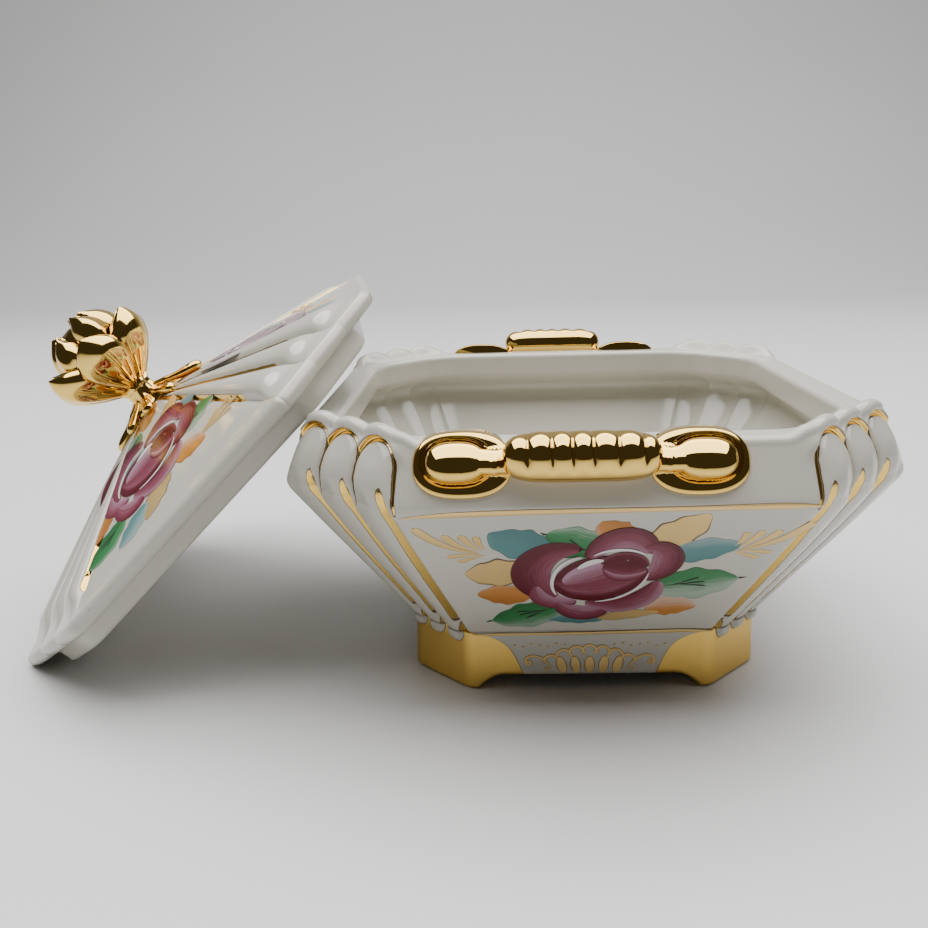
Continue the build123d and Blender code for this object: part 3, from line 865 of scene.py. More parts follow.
LEAVES = (
    ("teal", (-9.4, 11.6), (-22.0, 17.4), 5.2, 0.5),
    ("green", (-0.4, 9.6), (-11.0, 16.6), 5.4, -0.5),
    ("orange", (5.4, 14.6), (-0.4, 20.6), 4.0, 0.4),
    ("gold", (8.6, 12.2), (19.6, 22.4), 4.6, -0.4),
    ("teal", (13.2, 8.2), (27.4, 12.2), 4.0, 0.3),
    ("green", (12.0, -2.2), (28.8, 0.6), 6.0, -0.2),
    ("orange", (11.0, -11.0), (21.8, -10.4), 3.9, 0.6),
    ("gold", (-13.8, 4.4), (-27.0, 3.4), 5.2, 0.2),
    ("orange", (-13.6, -6.2), (-24.6, -4.6), 3.9, -0.5),
    ("green", (-6.6, -9.4), (-21.6, -15.0), 5.2, 0.4),
    ("teal", (2.6, -15.0), (-9.4, -14.9), 2.2, -0.3),
    ("gold", (1.0, -14.8), (14.4, -12.4), 1.9, 0.2),
)
FEATHER = (
    ((-36.5, 19.4), (-33.5, 15.5), (-30.5, 12.0), (-23.5, 10.4), 1.35),
    ((-30.8, 16.9), (-29.5, 14.5), (-27, 12.2), (-24.2, 11.0), 1.15),
    ((-27.4, 16.8), (-26.8, 15), (-25.2, 12.8), (-23.4, 11.4), 1.1),
    ((-24.4, 16.4), (-24.4, 14.8), (-23.8, 13.2), (-22.6, 11.8), 1.0),
    ((-30.4, 9.4), (-28.4, 9.9), (-26, 10.2), (-23.4, 10.2), 0.85),
    ((-28.2, 7.6), (-26.4, 8.4), (-24.6, 9.2), (-22.8, 9.9), 0.8),
)


LID_LEAVES = (
    ("orange", (-3.6, 45.5), (1.8, 54.5), 3.2, 0.3),
    ("gold", (3.6, 40.0), (7.8, 47.5), 3.0, -0.3),
    ("teal", (6.4, 36.2), (14.2, 36.8), 3.6, 0.3),
    ("green", (5.6, 27.5), (19.0, 26.4), 4.5, -0.3),
    ("orange", (3.6, 17.5), (13.8, 12.8), 3.9, 0.3),
    ("gold", (1.6, 15.6), (-7.2, 5.6), 4.0, -0.3),
    ("teal", (-6.2, 12.4), (-16.4, 6.0), 3.6, 0.3),
    ("green", (-13.6, 16.0), (-26.6, 10.4), 4.6, 0.4),
    ("orange", (-17.6, 25.0), (-23.2, 17.2), 3.3, -0.3),
    ("gold", (-15.4, 33.0), (-17.6, 25.0), 2.6, 0.3),
    ("teal", (-9.4, 41.0), (-13.6, 34.0), 3.0, 0.3),
    ("green", (-4.6, 46.0), (-10.0, 40.4), 3.2, -0.3),
)
LID_SPRAY = (
    ((26.6, 16.4), (22, 15.6), (17, 15.2), (12.2, 15.6), 1.1),
    ((23.4, 18.8), (20, 17.6), (16.6, 16.4), (13, 15.8), 0.9),
    ((23.0, 13.4), (20, 13.8), (16.6, 14.6), (13, 15.4), 0.9),
    ((19.4, 19.0), (17.4, 18.0), (15, 16.8), (12.6, 15.8), 0.8),
)


def bouquet(prefix, panel, middle, scale, turn, leaves, leaf_shift, sprays):
    """Rose, leaves, veins and gold sprays on one panel. Returns the strokes by the paint they take.

    The rose is drawn about middle, scaled and turned. The leaves are drawn about leaf_shift, unturned.
    """
    rose_draw = moved_panel(panel, middle, scale, turn)
    draw = moved_panel(panel, leaf_shift)
    made = {"rose": [], "white": [], "green": [], "teal": [], "orange": [], "gold": [], "ink": []}
    level = 0.0
    for number, (paint, root, tip, half, bend) in enumerate(leaves):
        root, tip = np.array(root, float), np.array(tip, float)
        across = np.array([-(tip - root)[1], (tip - root)[0]]) * 0.18 * bend
        controls = (root, root * 0.62 + tip * 0.38 + across, root * 0.3 + tip * 0.7 + across, tip)
        made[paint].append(brush_stroke(f"{prefix}_{paint}_{number}", draw, controls, half, "leaf",
                                        light=1.0 if bend > 0 else -1.0, tone=0.3 + 0.06 * (number % 7),
                                        lift=level))
        level += 0.004
        if paint == "green":
            ahead = tip - root
            aside = np.array([-ahead[1], ahead[0]])
            veins = [(root + ahead * 0.10, root + ahead * 0.62)]
            for share, reach in ((0.18, 0.30), (0.30, -0.28)):
                start = root + ahead * (0.10 + share * 0.6)
                veins.append((start, start + ahead * 0.34 + aside * reach * 0.35))
            for start, end in veins:
                made["ink"].append(brush_stroke(f"{prefix}_vein_{number}", draw, (end, (start + end) / 2,
                                                                                  start),
                                                0.34, "drop", lift=level + 0.06, thick=0.03, count=14,
                                                around=8))
            made["ink"].append(brush_stroke(f"{prefix}_tip_{number}", draw,
                                            (tip, tip * 1.02 - root * 0.02, tip * 1.10 - root * 0.10), 0.42,
                                            "drop",
                                            lift=level + 0.05, thick=0.03, count=14, around=8))
    for number, (profile, controls, half, light, tone) in enumerate(ROSE_STROKES):
        level += 0.012
        made["rose"].append(brush_stroke(f"{prefix}_rose_{number}", rose_draw, controls, half, profile,
                                         light=light, tone=tone, lift=level + 0.02))
    for number, stroke in enumerate(WHITE_STROKES):
        level += 0.006
        made["white"].append(brush_stroke(f"{prefix}_white_{number}", rose_draw, stroke[:4], stroke[4],
                                          "petal",
                                          lift=level + 0.05, thick=0.04))
    for number, stroke in enumerate(sprays):
        made["gold"].append(brush_stroke(f"{prefix}_spray_{number}", draw, stroke[:4], stroke[4], "drop",
                                         lift=0.02, count=22, around=10))
    return made


# ---------------------------------------------------------------- materials

def node_tree(material):
    """The node tree and Principled node of a material."""
    tree = material.node_tree
    return tree, tree.nodes["Principled BSDF"]


def new_material(name):
    """An empty material with its Principled node."""
    material = bpy.data.materials.new(name)
    material.use_nodes = True
    return material


def add(tree, kind, **values):
    """A node of this kind with some inputs set by name and properties set by attribute."""
    node = tree.nodes.new(kind)
    for key, value in values.items():
        if key in node.inputs:
            node.inputs[key].default_value = value
        else:
            setattr(node, key, value)
    return node


def wire(tree, source, target):
    """A link between two sockets."""
    tree.links.new(source, target)


def math_node(tree, operation, a, b=None, c=None, clamp=False):
    """A Math node whose inputs are sockets or numbers. Gives its output socket."""
    node = tree.nodes.new("ShaderNodeMath")
    node.operation = operation
    node.use_clamp = clamp
    for slot, value in zip(node.inputs, (a, b, c)):
        if value is None:
            continue
        if isinstance(value, (int, float)):
            slot.default_value = value
        else:
            wire(tree, value, slot)
    return node.outputs[0]


def mix_colour(tree, factor, a, b):
    """A Mix node of two colours, each a socket or a colour. Gives its output socket."""
    node = tree.nodes.new("ShaderNodeMix")
    node.data_type = "RGBA"
    sockets = [s for s in node.inputs if s.type == "RGBA"]
    for slot, value in ((node.inputs[0], factor), (sockets[0], a), (sockets[1], b)):
        if isinstance(value, (int, float)):
            slot.default_value = value
        elif isinstance(value, (tuple, list)) or hasattr(value, "__len__"):
            slot.default_value = (*value[:3], 1.0)
        else:
            wire(tree, value, slot)
    return [s for s in node.outputs if s.type == "RGBA"][0]


def group_tree(name, inputs, outputs):
    """A shader node group with named sockets. Gives the tree, its input node and its output node."""
    tree = bpy.data.node_groups.new(name, "ShaderNodeTree")
    for label, kind, value in inputs:
        socket = tree.interface.new_socket(name=label, in_out="INPUT", socket_type=kind)
        if value is not None:
            socket.default_value = value
    for label, kind in outputs:
        tree.interface.new_socket(name=label, in_out="OUTPUT", socket_type=kind)
    return tree, tree.nodes.new("NodeGroupInput"), tree.nodes.new("NodeGroupOutput")


def glaze_group():
    """Glaze: soft cloudiness, sparse dark pinholes and the slow waviness of a poured surface."""
    if "Glaze" in bpy.data.node_groups:
        return bpy.data.node_groups["Glaze"]
    tree, given, put = group_tree(
        "Glaze",
        [("Colour", "NodeSocketColor", (0.8, 0.8, 0.78, 1)), ("Cloud", "NodeSocketFloat", 0.05),
         ("Pinholes", "NodeSocketFloat", 1.0), ("Waviness", "NodeSocketFloat", 0.10)],
        [("Colour", "NodeSocketColor"), ("Roughness", "NodeSocketFloat"), ("Normal", "NodeSocketVector")])
    place = add(tree, "ShaderNodeTexCoord")
    cloud = add(tree, "ShaderNodeTexNoise", Scale=38.0, Detail=4.0, Roughness=0.55)
    wire(tree, place.outputs["Object"], cloud.inputs["Vector"])
    shade = math_node(tree, "MULTIPLY_ADD", math_node(tree, "SUBTRACT", cloud.outputs["Fac"], 0.5),
                      given.outputs["Cloud"], 1.0)
    scaled = add(tree, "ShaderNodeVectorMath", operation="SCALE")
    wire(tree, given.outputs["Colour"], scaled.inputs[0])
    wire(tree, shade, scaled.inputs["Scale"])
    dots = add(tree, "ShaderNodeTexVoronoi", Scale=95.0, Randomness=1.0)
    wire(tree, place.outputs["Object"], dots.inputs["Vector"])
    rare = add(tree, "ShaderNodeTexNoise", Scale=60.0, Detail=0.0)
    wire(tree, place.outputs["Object"], rare.inputs["Vector"])
    close = math_node(tree, "LESS_THAN", dots.outputs["Distance"], 0.030)
    chosen = math_node(tree, "GREATER_THAN", rare.outputs["Fac"], 0.60)
    hole = math_node(tree, "MULTIPLY", math_node(tree, "MULTIPLY", close, chosen), given.outputs["Pinholes"])
    colour = mix_colour(tree, hole, scaled.outputs[0], (0.22, 0.19, 0.16))
    wire(tree, colour, put.inputs["Colour"])
    rough = math_node(tree, "MULTIPLY_ADD", cloud.outputs["Fac"], 0.08, 0.09)
    wire(tree, math_node(tree, "ADD", rough, math_node(tree, "MULTIPLY", hole, 0.4)), put.inputs["Roughness"])
    slow = add(tree, "ShaderNodeTexNoise", Scale=120.0, Detail=2.0, Roughness=0.5)
    wire(tree, place.outputs["Object"], slow.inputs["Vector"])
    bump = add(tree, "ShaderNodeBump", Distance=0.0004)
    wire(tree, given.outputs["Waviness"], bump.inputs["Strength"])
    wire(tree, math_node(tree, "SUBTRACT", slow.outputs["Fac"], math_node(tree, "MULTIPLY", hole, 0.3)),
         bump.inputs["Height"])
    wire(tree, bump.outputs["Normal"], put.inputs["Normal"])
    return tree


def gilt_group():
    """Gilding: burnished gold with faint brush haze, worn specks and small dents."""
    if "Gilt" in bpy.data.node_groups:
        return bpy.data.node_groups["Gilt"]
    tree, given, put = group_tree(
        "Gilt",
        [("Colour", "NodeSocketColor", (0.86, 0.6, 0.24, 1)), ("Roughness", "NodeSocketFloat", 0.10),
         ("Haze", "NodeSocketFloat", 0.12), ("Wear", "NodeSocketFloat", 0.2), ("Dents", "NodeSocketFloat",
                                                                               0.12)],
        [("Colour", "NodeSocketColor"), ("Roughness", "NodeSocketFloat"), ("Normal", "NodeSocketVector")])
    place = add(tree, "ShaderNodeTexCoord")
    haze = add(tree, "ShaderNodeTexNoise", Scale=210.0, Detail=5.0, Roughness=0.6)
    wire(tree, place.outputs["Object"], haze.inputs["Vector"])
    rough = math_node(tree, "MULTIPLY_ADD", haze.outputs["Fac"], given.outputs["Haze"],
                      given.outputs["Roughness"])
    spots = add(tree, "ShaderNodeTexNoise", Scale=150.0, Detail=6.0, Roughness=0.75)
    wire(tree, place.outputs["Object"], spots.inputs["Vector"])
    worn = math_node(tree, "MULTIPLY", math_node(tree, "SUBTRACT", spots.outputs["Fac"], 0.64, clamp=True),
                     9.0,
                     clamp=True)
    worn = math_node(tree, "MULTIPLY", worn, given.outputs["Wear"])
    colour = mix_colour(tree, worn, given.outputs["Colour"], (0.16, 0.085, 0.03))
    wire(tree, colour, put.inputs["Colour"])
    wire(tree, math_node(tree, "MULTIPLY_ADD", worn, 0.25, rough), put.inputs["Roughness"])
    dents = add(tree, "ShaderNodeTexNoise", Scale=190.0, Detail=1.5, Roughness=0.4)
    wire(tree, place.outputs["Object"], dents.inputs["Vector"])
    bump = add(tree, "ShaderNodeBump", Distance=0.0005)
    wire(tree, given.outputs["Dents"], bump.inputs["Strength"])
    wire(tree, dents.outputs["Fac"], bump.inputs["Height"])
    wire(tree, bump.outputs["Normal"], put.inputs["Normal"])
    return tree


def hand_edge_group():
    """Edge of hand-laid gold: where the signed distance, wavered by noise, is above 0, and its brown rim,
    which is partly painted shade beside the gold in the bowl's grooves.
    """
    if "Hand Edge" in bpy.data.node_groups:
        return bpy.data.node_groups["Hand Edge"]
    tree, given, put = group_tree(
        "Hand Edge",
        [("Distance", "NodeSocketFloat", 0.0), ("Waver", "NodeSocketFloat", 0.25), ("Rim", "NodeSocketFloat",
                                                                                    0.14)],
        [("Gold", "NodeSocketFloat"), ("Line", "NodeSocketFloat")])
    place = add(tree, "ShaderNodeTexCoord")
    noise = add(tree, "ShaderNodeTexNoise", Scale=430.0, Detail=3.0, Roughness=0.6)
    wire(tree, place.outputs["Object"], noise.inputs["Vector"])
    moved = math_node(tree, "MULTIPLY_ADD", math_node(tree, "SUBTRACT", noise.outputs["Fac"], 0.5),
                      given.outputs["Waver"], given.outputs["Distance"])
    gold = math_node(tree, "MULTIPLY_ADD", moved, 14.0, 0.5, clamp=True)
    # brown band just outside the gold: the gold's brown edge, and painted shade beside the gold in the
    # grooves
    outer = math_node(tree, "MULTIPLY_ADD", math_node(tree, "ADD", moved, given.outputs["Rim"]), 14.0, 0.5,
                      clamp=True)
    wire(tree, gold, put.inputs["Gold"])
    wire(tree, math_node(tree, "SUBTRACT", outer, gold, clamp=True), put.inputs["Line"])
    return tree


def use_group(tree, group, **values):
    """A group node in a material, with its inputs set by name."""
    node = tree.nodes.new("ShaderNodeGroup")
    node.node_tree = group
    for key, value in values.items():
        if hasattr(value, "__len__"):
            value = (*value[:3], 1.0)
        node.inputs[key].default_value = value
    return node


def gilded_porcelain(name, colours, haze=0.14, wear=0.15, waviness=0.10, gold_rough=0.12):
    """Glazed porcelain with gold where the gilding attribute says."""
    material = new_material(name)
    tree, shader = node_tree(material)
    glaze = use_group(tree, glaze_group(), Colour=colours.glaze, Waviness=waviness)
    gilt = use_group(tree, gilt_group(), Colour=colours.gold, Haze=haze, Wear=wear, Roughness=gold_rough)
    edge = use_group(tree, hand_edge_group())
    field = add(tree, "ShaderNodeAttribute", attribute_name="gilding")
    wire(tree, field.outputs["Fac"], edge.inputs["Distance"])
    # brown rim round the gold: partly the thin gold's edge, partly painted shade beside the gold in the
    # grooves
    rim_shaded = mix_colour(tree, edge.outputs["Line"], glaze.outputs["Colour"], colours.gold_rim_and_shade)
    colour = mix_colour(tree, edge.outputs["Gold"], rim_shaded, gilt.outputs["Colour"])
    wire(tree, colour, shader.inputs["Base Color"])
    rough = add(tree, "ShaderNodeMix", data_type="FLOAT")
    wire(tree, edge.outputs["Gold"], rough.inputs[0])
    wire(tree, glaze.outputs["Roughness"], rough.inputs[2])
    wire(tree, gilt.outputs["Roughness"], rough.inputs[3])
    wire(tree, rough.outputs[0], shader.inputs["Roughness"])
    wire(tree, edge.outputs["Gold"], shader.inputs["Metallic"])
    wire(tree, glaze.outputs["Normal"], shader.inputs["Normal"])
    shader.inputs["IOR"].default_value = 1.52
    return material


def plain_glaze(name, colours):
    """White glaze with no gilding."""
    material = new_material(name)
    tree, shader = node_tree(material)
    glaze = use_group(tree, glaze_group(), Colour=colours.glaze)
    for key in ("Colour", "Roughness", "Normal"):
        wire(tree, glaze.outputs[key], shader.inputs["Base Color" if key == "Colour" else key])
    shader.inputs["IOR"].default_value = 1.52
    return material


def solid_gold(name, colours, rough=0.03, haze=0.04, wear=0.12, dents=0.07):
    """Burnished gold all over."""
    material = new_material(name)
    tree, shader = node_tree(material)
    gilt = use_group(tree, gilt_group(), Colour=colours.gold, Haze=haze, Wear=wear, Roughness=rough,
                     Dents=dents)
    for key in ("Colour", "Roughness", "Normal"):
        wire(tree, gilt.outputs[key], shader.inputs["Base Color" if key == "Colour" else key])
    shader.inputs["Metallic"].default_value = 1.0
    return material


def gold_paint(name, colours):
    """Gold laid with a liner brush: satin metal with a brown edge on both sides of each stroke."""
    material = new_material(name)
    tree, shader = node_tree(material)
    gilt = use_group(tree, gilt_group(), Colour=(0.80, 0.57, 0.24), Haze=0.3, Wear=0.10, Roughness=0.34,
                     Dents=0.05)
    across = add(tree, "ShaderNodeAttribute", attribute_name="across")
    away = math_node(tree, "ABSOLUTE", across.outputs["Fac"])
    rim = math_node(tree, "MULTIPLY", math_node(tree, "SUBTRACT", away, 0.86, clamp=True), 12.0, clamp=True)
    wire(tree, mix_colour(tree, rim, gilt.outputs["Colour"], colours.gold_rim_and_shade), shader.inputs["Base Color"])
    wire(tree, gilt.outputs["Roughness"], shader.inputs["Roughness"])
    wire(tree, gilt.outputs["Normal"], shader.inputs["Normal"])
    wire(tree, math_node(tree, "MULTIPLY_ADD", rim, -0.75, 0.75), shader.inputs["Metallic"])
    return material


def bristle_group():
    """Bristles: streaks in a brush stroke, noise drawn out lengthwise and new for each tone."""
    if "Bristles" in bpy.data.node_groups:
        return bpy.data.node_groups["Bristles"]
    tree, given, put = group_tree(
        "Bristles",
        [("Along", "NodeSocketFloat", 0.0), ("Across", "NodeSocketFloat", 0.0), ("Tone", "NodeSocketFloat",
                                                                                 0.5),
         ("Fineness", "NodeSocketFloat", 5.0)],
        [("Streak", "NodeSocketFloat")])
    place = add(tree, "ShaderNodeCombineXYZ")
    wire(tree, math_node(tree, "MULTIPLY", given.outputs["Along"], 1.3), place.inputs[0])
    wire(tree, math_node(tree, "MULTIPLY", given.outputs["Across"], given.outputs["Fineness"]),
         place.inputs[1])
    wire(tree, math_node(tree, "MULTIPLY", given.outputs["Tone"], 37.0), place.inputs[2])
    noise = add(tree, "ShaderNodeTexNoise", Scale=2.2, Detail=4.0, Roughness=0.65)
    wire(tree, place.outputs[0], noise.inputs["Vector"])
    wire(tree, math_node(tree, "SUBTRACT", noise.outputs["Fac"], 0.5), put.inputs["Streak"])
    return tree


def paint_material(name, stops, spread=0.55, fine=5.0, streak=0.5):
    """Overglaze paint: a colour ramp across each stroke, broken by bristles and shifted by its tone."""
    material = new_material(name)
    tree, shader = node_tree(material)
    along, across, tone = [add(tree, "ShaderNodeAttribute", attribute_name=each).outputs["Fac"]
                           for each in ("along", "across", "tone")]
    bristles = use_group(tree, bristle_group(), Fineness=fine)
    for socket, source in (("Along", along), ("Across", across), ("Tone", tone)):
        wire(tree, source, bristles.inputs[socket])
    value = math_node(tree, "MULTIPLY_ADD", across, 0.5 * spread, tone)
    value = math_node(tree, "MULTIPLY_ADD", bristles.outputs["Streak"], streak, value)
    ramp = tree.nodes.new("ShaderNodeValToRGB")
    ramp.color_ramp.interpolation = "EASE"
    while len(ramp.color_ramp.elements) < len(stops):
        ramp.color_ramp.elements.new(0.5)
    for element, (place, colour) in zip(ramp.color_ramp.elements, stops):
        element.position = place
        element.color = (*colour[:3], 1.0)
    wire(tree, value, ramp.inputs["Fac"])
    wire(tree, ramp.outputs["Color"], shader.inputs["Base Color"])
    shader.inputs["Roughness"].default_value = 0.14
    shader.inputs["IOR"].default_value = 1.52
    return material


def blend_of(a, b, share):
    """Colour between two colours."""
    return tuple(x + (y - x) * share for x, y in zip(a[:3], b[:3]))


def paints(colours):
    """The paints of the bouquet, made once."""
    if "rose_paint" in bpy.data.materials:
        return {key: bpy.data.materials[f"{key}_paint"] for key in ("rose", "white", "green", "teal",
                                                                    "orange",
                                                                     "gold", "ink")}
    dark, mid, light = colours.rose_dark, colours.rose_mid, colours.rose_light
    white = (0.80, 0.78, 0.76)
    made = {
        "rose": paint_material("rose_paint", [(0.12, dark), (0.48, mid), (0.80, blend_of(mid, light, 0.5)),
                                              (1.05, light)], 0.72, 9.0, 0.85),
        "white": paint_material("white_paint", [(0.2, blend_of(light, white, 0.6)), (0.6, white)], 0.3, 3.0,
                                0.5),
        "green": paint_material("green_paint", [(0.05, blend_of(colours.leaf_green, (0, 0.03, 0), 0.4)),
                                                (0.42, colours.leaf_green),
                                                (0.85, blend_of(colours.leaf_green, white, 0.38))], 0.7, 5.0,
                                                0.6),
        "teal": paint_material("teal_paint", [(0.1, blend_of(colours.leaf_teal, (0.02, 0.08, 0.09), 0.35)),
                                              (0.5, colours.leaf_teal),
                                              (0.9, blend_of(colours.leaf_teal, white, 0.30))], 0.5, 5.0,
                                              0.5),
        "orange": paint_material("orange_paint", [(0.1, blend_of(colours.leaf_orange, (0.25, 0.08, 0.01),
                                                                 0.4)),
                                                  (0.5, colours.leaf_orange),
                                                  (0.9, blend_of(colours.leaf_orange, white, 0.35))], 0.6,
                                                  5.0, 0.5),
        "gold": gold_paint("gold_paint", colours),
        "ink": paint_material("ink_paint", [(0.2, (0.01, 0.02, 0.01)), (0.9, (0.03, 0.04, 0.03))], 0.2, 3.0,
                              0.3),
    }
    return made


def lay_strokes(prefix, made, body, colours):
    """Joins the strokes of each paint into one piece, and gives it its paint and body."""
    palette = paints(colours)
    for paint, strokes in made.items():
        if strokes:
            slot = "burnished_gilding" if paint == "gold" else "glazed_porcelain"
            finish_piece(joined(f"{prefix}_{paint}", strokes), palette[paint], body, slot)


# ---------------------------------------------------------------- operators

class TRINKET_OT_bowl(bpy.types.Operator):
    """Make the gadrooned bowl"""
    bl_idname = "trinket.bowl"
    bl_label = "Bowl"

    def execute(self, context):
        shape, colours = context.scene.trinket_shape, context.scene.trinket_colours
        finish_piece(bowl_surface(shape), gilded_porcelain("bowl_glaze", colours), "bowl_body",
                     "glazed_porcelain", "bowl")
        return {"FINISHED"}


class TRINKET_OT_plinth(bpy.types.Operator):
    """Make the plinth with its gilded bracket feet"""
    bl_idname = "trinket.plinth"
    bl_label = "Plinth"

    def execute(self, context):
        shape, colours = context.scene.trinket_shape, context.scene.trinket_colours
        finish_piece(plinth_surface(shape), gilded_porcelain("plinth_glaze", colours, haze=0.22, wear=0.35,
                                                             gold_rough=0.22),
                     "bowl_body", "gilded_plinth", "foot_plinth")
        return {"FINISHED"}


class TRINKET_OT_handles(bpy.types.Operator):
    """Make the two gilded handles, each a ribbed grip between two lugs"""
    bl_idname = "trinket.handles"
    bl_label = "Handles"

    def execute(self, context):
        shape, colours = context.scene.trinket_shape, context.scene.trinket_colours
        gold = solid_gold("handle_gold", colours)
        grip_inset, grip_raise, lug_face = 4.95, 0.8, 61.6
        for end, side, lug_drop in (("front", -1, 1.5), ("rear", 1, 2.6)):
            low, high = (np.array(c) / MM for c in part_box(f"{end}_grip"))
            middle = (low + high) / 2
            middle[1] = side * (np.abs([low[1], high[1]]).max() - grip_inset)
            middle[2] += side * grip_raise
            finish_piece(grip_surface(f"{end}_grip_gold", middle, side, shape.grip_ribs), gold, "bowl_body",
                         "burnished_gilding", f"{end}_grip")
            for hand in ("left", "right"):
                node = f"{end}_{hand}_lug"
                low, high = (np.array(c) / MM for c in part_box(node))
                centre = (low + high) / 2
                away = 1 if centre[0] > middle[0] else -1
                seat = (centre[0] - 0.1 * away, side * lug_face, centre[2] - lug_drop)
                lug = lug_surface(f"{node}_gold", seat, side, away)
                finish_piece(lug, gold, "bowl_body", "burnished_gilding", node)
        return {"FINISHED"}


class TRINKET_OT_lid(bpy.types.Operator):
    """Make the leaning pyramid lid and its locating flange"""
    bl_idname = "trinket.lid"
    bl_label = "Lid"

    def execute(self, context):
        shape, colours = context.scene.trinket_shape, context.scene.trinket_colours
        finish_piece(lid_surface(shape), gilded_porcelain("lid_glaze", colours), "lid",
                     "glazed_porcelain", "lid_shell")
        finish_piece(flange_surface(shape), plain_glaze("flange_glaze", colours), "lid",
                     "glazed_porcelain", "lid_flange")
        return {"FINISHED"}


class TRINKET_OT_finial(bpy.types.Operator):
    """Make the gilded bud finial: calyx, outer petals and inner bud"""
    bl_idname = "trinket.finial"
    bl_label = "Finial"

    def execute(self, context):
        shape, colours = context.scene.trinket_shape, context.scene.trinket_colours
        gold = solid_gold("finial_gold", colours, rough=0.06, haze=0.06)
        seat = shape.lid_rise / MM - lid_slope(shape) * 7.5
        neck = seat + 6.4
        calyx = [turned_piece("calyx_core", shape, (6.8, 6.6, 5.0, 3.9, 3.8, 4.8),
                              (seat - 0.5, seat + 0.9, seat + 2.2, seat + 3.4, neck - 0.6, neck + 0.8), 8,
                              0.06)]
        for index in range(8):
            long_leaf = index % 4 == 0
            calyx.append(calyx_leaf(f"calyx_leaf_{index}", shape, index * TAU / 8,
                                    16.5 if long_leaf else 10.5 + 1.5 * (index % 2),
                                    1.9 if long_leaf else 1.7, 0.9 if long_leaf else 0.4))
        finish_piece(joined("calyx_gold", calyx), gold, "lid", "burnished_gilding", "finial_calyx")
        count = shape.petals
        petals = [shell_petal(f"petal_{i}", shape, (i + 0.75) * TAU / count, neck - 0.4 + 0.4 * (i % 2),
                              (3.4, 15.0 - 0.8 * (i % 2), 18.4 - 1.0 * (i % 2), 15.4 - 0.6 * (i % 2)),
                              16.4 - 0.8 * (i % 2), 0.64, 3.2, -0.5, 0.2) for i in range(count)]
        finish_piece(joined("petals_gold", petals), gold, "lid", "burnished_gilding", "finial_petals")
        inner = [turned_piece("bud_core", shape, (4.0, 6.4, 7.6, 6.6, 3.4),
                              (neck + 2, neck + 7, neck + 14, neck + 19, neck + 21.4), 5, 0.08)]
        for i in range(5):
            inner.append(shell_petal(f"bud_petal_{i}", shape, (i + 0.35) * TAU / 5, neck + 7.0,
                                     (5.6, 9.6, 13.2, 10.6, 5.2), 16.6 - 1.4 * (i % 2), 0.60, 3.2, 0.4, 0.5))
        finish_piece(joined("bud_gold", inner), gold, "lid", "burnished_gilding", "finial_bud")
        return {"FINISHED"}


class TRINKET_OT_flowers(bpy.types.Operator):
    """Paint the bouquets on the bowl's two panels and the lid's four faces"""
    bl_idname = "trinket.flowers"
    bl_label = "Painted flowers"

    def execute(self, context):
        shape, colours = context.scene.trinket_shape, context.scene.trinket_colours
        for end, side in (("front", -1), ("rear", 1)):
            sprays = FEATHER + tuple(tuple((3.2 - x, y) for x,
                                           y in stroke[:4]) + stroke[4:] for stroke in FEATHER)
            made = bouquet(f"{end}_bouquet", bowl_panel(shape, side), (0.2, 21.2), 0.90, 0.02, LEAVES, (0.0,
                                                                                                        20.3),
                           sprays)
            lay_strokes(f"{end}_bouquet", made, "bowl_body", colours)
        for index in range(4):
            made = bouquet(f"lid_bouquet_{index}", lid_panel(shape, index * TAU / 4), (-4.6, 28.0), 0.90,
                           -0.36,
                           LID_LEAVES, (0.0, 0.0), LID_SPRAY)
            lay_strokes(f"lid_bouquet_{index}", made, "lid", colours)
        return {"FINISHED"}


class TRINKET_OT_gold_lines(bpy.types.Operator):
    """Draw the gold lines round the front and rear panels and the scrolls on the plinth"""
    bl_idname = "trinket.gold_lines"
    bl_label = "Gold lines"

    def execute(self, context):
        shape, colours = context.scene.trinket_shape, context.scene.trinket_colours
        length = math.hypot(shape.belly_height - shape.plinth_height,
                            (shape.belly_width - shape.plinth_width) / 2) / MM
        made = []
        for end, side in (("front", -1), ("rear", 1)):
            panel = bowl_panel(shape, side)
            top = ((-38.8, length - 1.6), (-20, length + 0.6), (10, length - 0.8), (25, length + 0.4),
                   (40.6, length + 0.2))
            low = ((-26.4, -0.4), (-8, -1.4), (8, 0.4), (27.4, 0.1))
            made.append(brush_stroke(f"{end}_top_line", panel, top, 0.72, "line", tone=0.3, thick=0.14,
                                     count=90))
            made.append(brush_stroke(f"{end}_low_line", panel, low, 0.62, "line", tone=0.6, thick=0.5,
                                     count=80))
            made += plinth_scrolls(shape, side)
        finish_piece(joined("gold_lines", made), paints(colours)["gold"], "bowl_body", "burnished_gilding")
        return {"FINISHED"}


